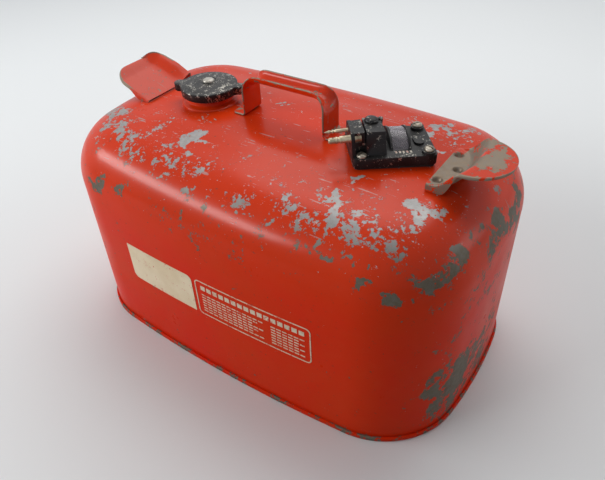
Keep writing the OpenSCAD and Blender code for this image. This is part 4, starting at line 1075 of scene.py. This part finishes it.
class OBJECT_OT_housing_screws(Builder, bpy.types.Operator):
    """Sets the four slotted screws at the casting's corners with a node tree"""

    bl_idname = "fuel_tank.housing_screws"
    bl_label = "Housing Screws"

    def screw(self):
        head, shank, r, foot = METER["t"] + BOSS_RISE + LAY_GAP / 2, 2.4, 4.4, -10
        profile = [(0, foot), (shank - 0.4, foot), (shank, foot + 0.4), (shank, head), (r - 0.4, head),
                   (r, head + 0.4), (r, head + 1.3), (r - 0.4, head + 2.2), (3.0, head + 2.85),
                   (1.5, head + 3.15), (0, head + 3.2)]
        verts, faces = lathe(profile, 40)
        screw = new_mesh_object("screw_blank", verts, faces)
        outward(screw)
        w, low, high = 0.55, head + 1.7, head + 6
        box = [(x, y, z) for z in (low, high) for x, y in ((-6, -w), (6, -w), (6, w), (-6, w))]
        with_hole(screw, box, BOX_FACES)
        return screw

    def build(self, scene):
        screw = self.screw()
        tree = bpy.data.node_groups.new("Corner screws", "GeometryNodeTree")
        for label, kind in (("Screw", "Object"), ("Length", "Float"), ("Width", "Float"), ("Seed", "Int"),
                            ("Finish", "Material")):
            tree.interface.new_socket(label, in_out="INPUT", socket_type="NodeSocket" + kind)
        tree.interface.new_socket("Geometry", in_out="OUTPUT", socket_type="NodeSocketGeometry")
        s = Shade(tree)
        given = s.node("NodeGroupInput").outputs
        grid = s.node("GeometryNodeMeshGrid")
        grid.inputs["Vertices X"].default_value = 2
        grid.inputs["Vertices Y"].default_value = 2
        s.link(given["Length"], grid.inputs["Size X"])
        s.link(given["Width"], grid.inputs["Size Y"])
        info = s.node("GeometryNodeObjectInfo", transform_space="ORIGINAL")
        info.inputs["As Instance"].default_value = True
        s.link(given["Screw"], info.inputs["Object"])
        turn = s.node("FunctionNodeRandomValue", data_type="FLOAT_VECTOR")
        turn.inputs[0].default_value = (0, 0, 0)
        turn.inputs[1].default_value = (0, 0, math.pi)
        s.link(given["Seed"], turn.inputs["Seed"])
        where = s.node("ShaderNodeSeparateXYZ")
        s.link(s.node("GeometryNodeInputPosition").outputs[0], where.inputs[0])
        lower = s.node("ShaderNodeCombineXYZ")
        s.link(s.ramp(where.outputs["X"], -0.001, 0.001, -BOSS_RISE * MM, 0.0), lower.inputs["Z"])
        seated = s.node("GeometryNodeSetPosition")
        s.link(grid.outputs["Mesh"], seated.inputs["Geometry"])
        s.link(lower.outputs[0], seated.inputs["Offset"])
        place = s.node("GeometryNodeInstanceOnPoints")
        s.link(seated.outputs["Geometry"], place.inputs["Points"])
        s.link(info.outputs["Geometry"], place.inputs["Instance"])
        s.link(turn.outputs[0], place.inputs["Rotation"])
        real = s.node("GeometryNodeRealizeInstances")
        s.link(place.outputs[0], real.inputs[0])
        paint = s.node("GeometryNodeSetMaterial")
        s.link(real.outputs[0], paint.inputs["Geometry"])
        s.link(given["Finish"], paint.inputs["Material"])
        s.link(paint.outputs[0], s.node("NodeGroupOutput").inputs["Geometry"])
        finish = Finish.get("screw_zinc", bare_metal, (0.50, 0.46, 0.38), (0.14, 0.11, 0.08),
                            0.40, 0.85, 420.0, 0.4)
        screws = new_mesh_object("casting_screws", [(0, 0, 0)], [])
        sockets = {item.name: item.identifier for item in tree.interface.items_tree if item.in_out == "INPUT"}
        row = screws.modifiers.new("corners", "NODES")
        row.node_group = tree
        row[sockets["Screw"]] = screw
        row[sockets["Length"]] = 2 * SCREW_AT[0] * MM
        row[sockets["Width"]] = 2 * SCREW_AT[1] * MM
        row[sockets["Seed"]] = 4
        row[sockets["Finish"]] = finish
        apply_modifiers(screws)
        place_m = METER_PLACE.copy()
        place_m.translation = METER_PLACE.translation * MM
        screws.data.transform(place_m)
        bpy.data.objects.remove(screw)
        finish_piece(screws, "tank", finish, ("housing_screws",), "housing_screws", 40)


class OBJECT_OT_gauge_works(Builder, bpy.types.Operator):
    """Finishes the pieces under the casting: float gauge, pickup and mounting ring"""

    bl_idname = "fuel_tank.gauge_works"
    bl_label = "Gauge Works"

    def build(self, scene):
        cork = Finish.get("varnished_cork", soft_stuff, (0.42, 0.26, 0.13), (0.20, 0.11, 0.05),
                          0.5, 170.0, 0.5)
        black = Finish.get("pointer_black", soft_stuff, (0.030, 0.028, 0.026), (0.016, 0.015, 0.015),
                           0.5, 140.0, 0.1)
        gauze = Finish.get("strainer_brass", bare_metal, (0.58, 0.48, 0.28), (0.28, 0.20, 0.10),
                           0.38, 0.9, 700.0)
        steel = inner_steel()
        for name, node, body, finish, width, segments in (
                ("mounting_ring", "meter_mounting_ring", "tank", steel, 0.3, 2),
                ("gauge_bracket", "float_bracket", "tank", steel, 0.2, 2),
                ("bracket_screw_pair", "bracket_screws", "tank", zinc(), 0.25, 2),
                ("float_pin", "pivot_pin", "tank", steel, 0.2, 2),
                ("pickup_pipe", "pickup_tube", "tank", brass(), 0.15, 2),
                ("strainer_basket", "pickup_strainer", "tank", gauze, 0.2, 2),
                ("float_wire", "float_arm", "float_gauge", steel, 0.15, 2),
                ("cork_float", "fuel_float", "float_gauge", cork, 0.8, 3),
                ("gauge_flag", "gauge_pointer", "float_gauge", black, 0.2, 2)):
            softened(name, node, body, finish, width, segments)


class OBJECT_OT_wall_labels(Builder, bpy.types.Operator):
    """Lays the blank plate and the ruled panel on the front wall"""

    bl_idname = "fuel_tank.wall_labels"
    bl_label = "Wall Labels"

    def patch(self, name, x0, x1, z0, z1, corners, lift, steps=26):
        """A thin skin on the front wall, with the radii of its corners from top left round to foot left."""
        loop = []
        for (cx, cz, start), r in zip(((x1, z1, 0), (x0, z1, 90), (x0, z0, 180), (x1, z0, 270)),
                                      (corners[1], corners[0], corners[3], corners[2])):
            sx, sz = (1 if cx == x1 else -1), (1 if cz == z1 else -1)
            for i in range(7 if r else 1):
                a = math.radians(start + 90 * i / 6)
                loop.append((cx - sx * r + r * math.cos(a), cz - sz * r + r * math.sin(a)))
        bm = bmesh.new()
        face = bm.faces.new([bm.verts.new((x * MM, 0, z * MM)) for x, z in loop])
        for i in range(1, steps):
            x = x0 + (x1 - x0) * i / steps
            bmesh.ops.bisect_plane(bm, geom=bm.verts[:] + bm.edges[:] + bm.faces[:],
                                   plane_co=(x * MM, 0, 0), plane_no=(1, 0, 0))
        mesh = bpy.data.meshes.new(name)
        bm.to_mesh(mesh)
        bm.free()
        obj = bpy.data.objects.new(name, mesh)
        bpy.context.scene.collection.objects.link(obj)
        for v in mesh.vertices:
            v.co.y = front_wall_y(v.co.x / MM) * MM - lift
        if sum(p.normal.y for p in mesh.polygons) > 0:
            mesh.flip_normals()
        wall = obj.modifiers.new("film", "SOLIDIFY")
        wall.thickness = lift * 0.8
        wall.offset = -1.0
        return obj

    def frame_line(self, name, x0, x1, z0, z1, r, w, lift, steps=30):
        """A closed line with rounded corners round the panel, as a thin skin on the front wall."""
        def loop(inset):
            made = []
            for cx, cz, start in ((x1 - r, z1 - r, 0), (x0 + r, z1 - r, 90),
                                  (x0 + r, z0 + r, 180), (x1 - r, z0 + r, 270)):
                made += [(cx + (r - inset) * math.cos(math.radians(start + 15 * i)),
                          cz + (r - inset) * math.sin(math.radians(start + 15 * i))) for i in range(7)]
                if start in (0, 180):
                    side = 1 if start == 180 else -1
                    span = (x1 - x0 - 2 * r) / steps
                    z = z0 + inset if side > 0 else z1 - inset
                    from_x = x0 + r if side > 0 else x1 - r
                    made += [(from_x + side * span * i, z) for i in range(1, steps)]
            return made
        outer, inner = loop(0.0), loop(w)
        n = len(outer)
        verts = [(x, front_wall_y(x) - lift / MM, z) for x, z in outer + inner]
        faces = [(k, n + k, n + (k + 1) % n, (k + 1) % n) for k in range(n)]
        obj = new_mesh_object(name, verts, faces)
        if sum(p.normal.y for p in obj.data.polygons) > 0:
            obj.data.flip_normals()
        wall = obj.modifiers.new("film", "SOLIDIFY")
        wall.thickness = lift * 0.8
        wall.offset = -1.0
        return obj

    def build(self, scene):
        lift = scene.fuel_tank_form.label_lift
        cream = Finish.get("cream_print", printed, (0.74, 0.62, 0.43), 0.16)
        plate = self.patch("blank_plate", *PLATE_X, *LABEL_Z, (0, 6, 0, 6), lift)
        finish_piece(plate, "tank", cream, (), "tank_shell", 40)
        made = [self.frame_line("panel_frame", *PANEL_X, *LABEL_Z, 5.0, 1.2, lift)]
        left, right, block, dash, pitch, dash_h = -12.0, 69.0, 5.4, 4.8, 6.1, 1.3
        rows = [(left + 7.4 * i, left + block + 7.4 * i, 113.6, block) for i in range(16)]
        for line in range(7):
            for start, count in ((left, 12 - line % 3), (right, 6 - line % 2)):
                rows += [(start + pitch * i, start + dash + pitch * i, 107.0 - 3.5 * line, dash_h)
                         for i in range(count)]
        made += [self.patch("ruled_dash", x0, x1, z, z + h, (0, 0, 0, 0), lift, 2) for x0, x1, z, h in rows]
        bpy.ops.object.select_all(action="DESELECT")
        for obj in made:
            apply_modifiers(obj)
            obj.select_set(True)
        bpy.context.view_layer.objects.active = made[0]
        bpy.ops.object.join()
        panel = bpy.context.view_layer.objects.active
        panel.name = "ruled_panel"
        ink = Finish.get("cream_lines", printed, (0.66, 0.56, 0.42), 0.34)
        finish_piece(panel, "tank", ink, (), "tank_shell", 40)


# Lamps: name, size, watts, place, aim and colour, in metres
LAMPS = (("key", (1.3, 0.3), 17, (-1.08, -1.05, 0.86), (-0.05, 0, 0.14), (1, 1, 1)),
         ("right", (0.8, 0.4), 1.7, (1.30, 0.56, 0.46), (0, 0, 0.15), (1, 1, 1)),
         ("top", (1.6, 1.2), 15, (-0.25, 0.8, 1.6), (-0.1, 0.3, 0.1), (1.0, 0.985, 0.96)))
# The photo's camera: place in metres, turns in radians, focal length in pixels of a 605-pixel width
CAMERA_AT, CAMERA_TURN = (0.3117778, -0.4170663, 0.5057727), (0.6248, 0.6807, -0.0477)
FOCAL, PHOTO_W, SENSOR_W = 599.1081, 605, 36.0
# Floor tones are painted shade near the camera and to the right and painted light far off; FLOOR_MARK tints
# faint marks.
FLOOR_SHADED_NEAR, FLOOR_LIT_FAR, FLOOR_MARK = (0.70, 0.72, 0.725), (0.91, 0.94, 0.95), (0.6, 0.6, 0.6)
ROOM_FRONT, ROOM_BACK, BACKDROP = (0.11, 0.11, 0.115), (0.50, 0.51, 0.53), (0.74, 0.75, 0.78)


class OBJECT_OT_tank_stage(Builder, bpy.types.Operator):
    """Lays the pale floor and sets the lamps, the world and the camera"""

    bl_idname = "fuel_tank.stage"
    bl_label = "Stage"

    def lamp(self, name, size, energy, place, aim, colour):
        data = bpy.data.lights.new(name, "AREA")
        data.shape = "RECTANGLE"
        data.size, data.size_y = size
        data.energy = energy
        data.color = colour
        lamp = bpy.data.objects.new(name, data)
        lamp.location = place
        lamp.rotation_mode = "QUATERNION"
        lamp.rotation_quaternion = (Vector(aim) - Vector(place)).to_track_quat("-Z", "Y")
        bpy.context.scene.collection.objects.link(lamp)

    def camera(self, scene):
        yaw, pitch, roll = CAMERA_TURN
        ahead = Vector((-math.sin(yaw) * math.cos(pitch), math.cos(yaw) * math.cos(pitch), -math.sin(pitch)))
        right = Vector((math.cos(yaw), math.sin(yaw), 0))
        up = right.cross(ahead)
        level = math.cos(roll) * right + math.sin(roll) * up
        upright = -math.sin(roll) * right + math.cos(roll) * up
        data = bpy.data.cameras.new("photo_camera")
        data.sensor_width = SENSOR_W
        data.lens = FOCAL / PHOTO_W * SENSOR_W
        data.clip_start, data.clip_end = 0.01, 50
        camera = bpy.data.objects.new("photo_camera", data)
        turn = Matrix((level, upright, -ahead)).transposed()
        camera.matrix_world = Matrix.Translation(CAMERA_AT) @ turn.to_4x4()
        scene.collection.objects.link(camera)
        scene.camera = camera

    def floor(self):
        reach = 6000
        corners = [(-reach, -reach, 0), (reach, -reach, 0), (reach, reach, 0), (-reach, reach, 0)]
        floor = new_mesh_object("floor", corners, [(0, 1, 2, 3)])
        material = bpy.data.materials.new("pale_floor")
        material.use_nodes = True
        s = Shade(material.node_tree)
        shader = material.node_tree.nodes["Principled BSDF"]
        place = s.node("ShaderNodeTexCoord").outputs["Object"]
        split = s.node("ShaderNodeSeparateXYZ")
        s.link(place, split.inputs[0])
        # Painted shade and light on the floor: darker towards the camera and the right, lighter far off.
        away = s.math("SUBTRACT", split.outputs["Y"], s.math("MULTIPLY", split.outputs["X"], 0.3))
        floor_light_ramp = s.ramp(away, -0.3, 0.9, smooth=True)
        tone = s.mix(floor_light_ramp, rgb(FLOOR_SHADED_NEAR), rgb(FLOOR_LIT_FAR))
        tone = s.mix(s.cloud(place, 1.5, 2.0, 0.5, 0.0, 0.05), tone, rgb(FLOOR_MARK))
        s.link(tone, shader.inputs["Base Color"])
        shader.inputs["Roughness"].default_value = 0.55
        floor.data.materials.append(material)

    def build(self, scene):
        self.floor()
        self.camera(scene)
        world = bpy.data.worlds.new("studio")
        scene.world = world
        world.use_nodes = True
        s = Shade(world.node_tree)
        sky = world.node_tree.nodes["Background"]
        place = s.node("ShaderNodeTexCoord").outputs["Generated"]
        split = s.node("ShaderNodeSeparateXYZ")
        s.link(place, split.inputs[0])
        behind = s.ramp(split.outputs["Y"], -0.4, 0.6, smooth=True)
        room = s.mix(behind, rgb(ROOM_FRONT), rgb(ROOM_BACK))
        ray = s.node("ShaderNodeLightPath").outputs
        shown = s.math("MAXIMUM", ray["Is Glossy Ray"], ray["Is Transmission Ray"])
        seen = s.math("MAXIMUM", ray["Is Camera Ray"], shown)
        s.link(s.mix(seen, room, rgb(BACKDROP)), sky.inputs["Color"])
        for lamp in LAMPS:
            self.lamp(*lamp)
        scene.view_settings.view_transform = "Standard"


class VIEW3D_PT_fuel_tank(bpy.types.Panel):
    """Lists the finish and form settings and the operators that build each piece"""

    bl_label = "Fuel Tank"
    bl_idname = "VIEW3D_PT_fuel_tank"
    bl_space_type = "VIEW_3D"
    bl_region_type = "UI"
    bl_category = "Fuel Tank"

    def draw(self, context):
        for settings in (context.scene.fuel_tank_finish, context.scene.fuel_tank_form):
            column = self.layout.column()
            for key in settings.__annotations__:
                column.prop(settings, key)
        column = self.layout.column()
        for operator in OPERATORS:
            column.operator(operator.bl_idname)


OPERATORS = (OBJECT_OT_tank_stage, OBJECT_OT_tank_body, OBJECT_OT_base_pan, OBJECT_OT_carry_handle,
             OBJECT_OT_hose_hooks, OBJECT_OT_filler_neck, OBJECT_OT_filler_cap, OBJECT_OT_outlet_housing,
             OBJECT_OT_housing_screws, OBJECT_OT_gauge_works, OBJECT_OT_wall_labels)
CLASSES = (FuelTankFinish, FuelTankForm, *OPERATORS, VIEW3D_PT_fuel_tank)


def register():
    for cls in CLASSES:
        bpy.utils.register_class(cls)
    bpy.types.Scene.fuel_tank_finish = PointerProperty(type=FuelTankFinish)
    bpy.types.Scene.fuel_tank_form = PointerProperty(type=FuelTankForm)


def unregister():
    del bpy.types.Scene.fuel_tank_form
    del bpy.types.Scene.fuel_tank_finish
    for cls in reversed(CLASSES):
        bpy.utils.unregister_class(cls)


def main():
    register()
    for operator in OPERATORS:
        group, action = operator.bl_idname.split(".")
        getattr(getattr(bpy.ops, group), action)()


if __name__ == "__main__":
    main()
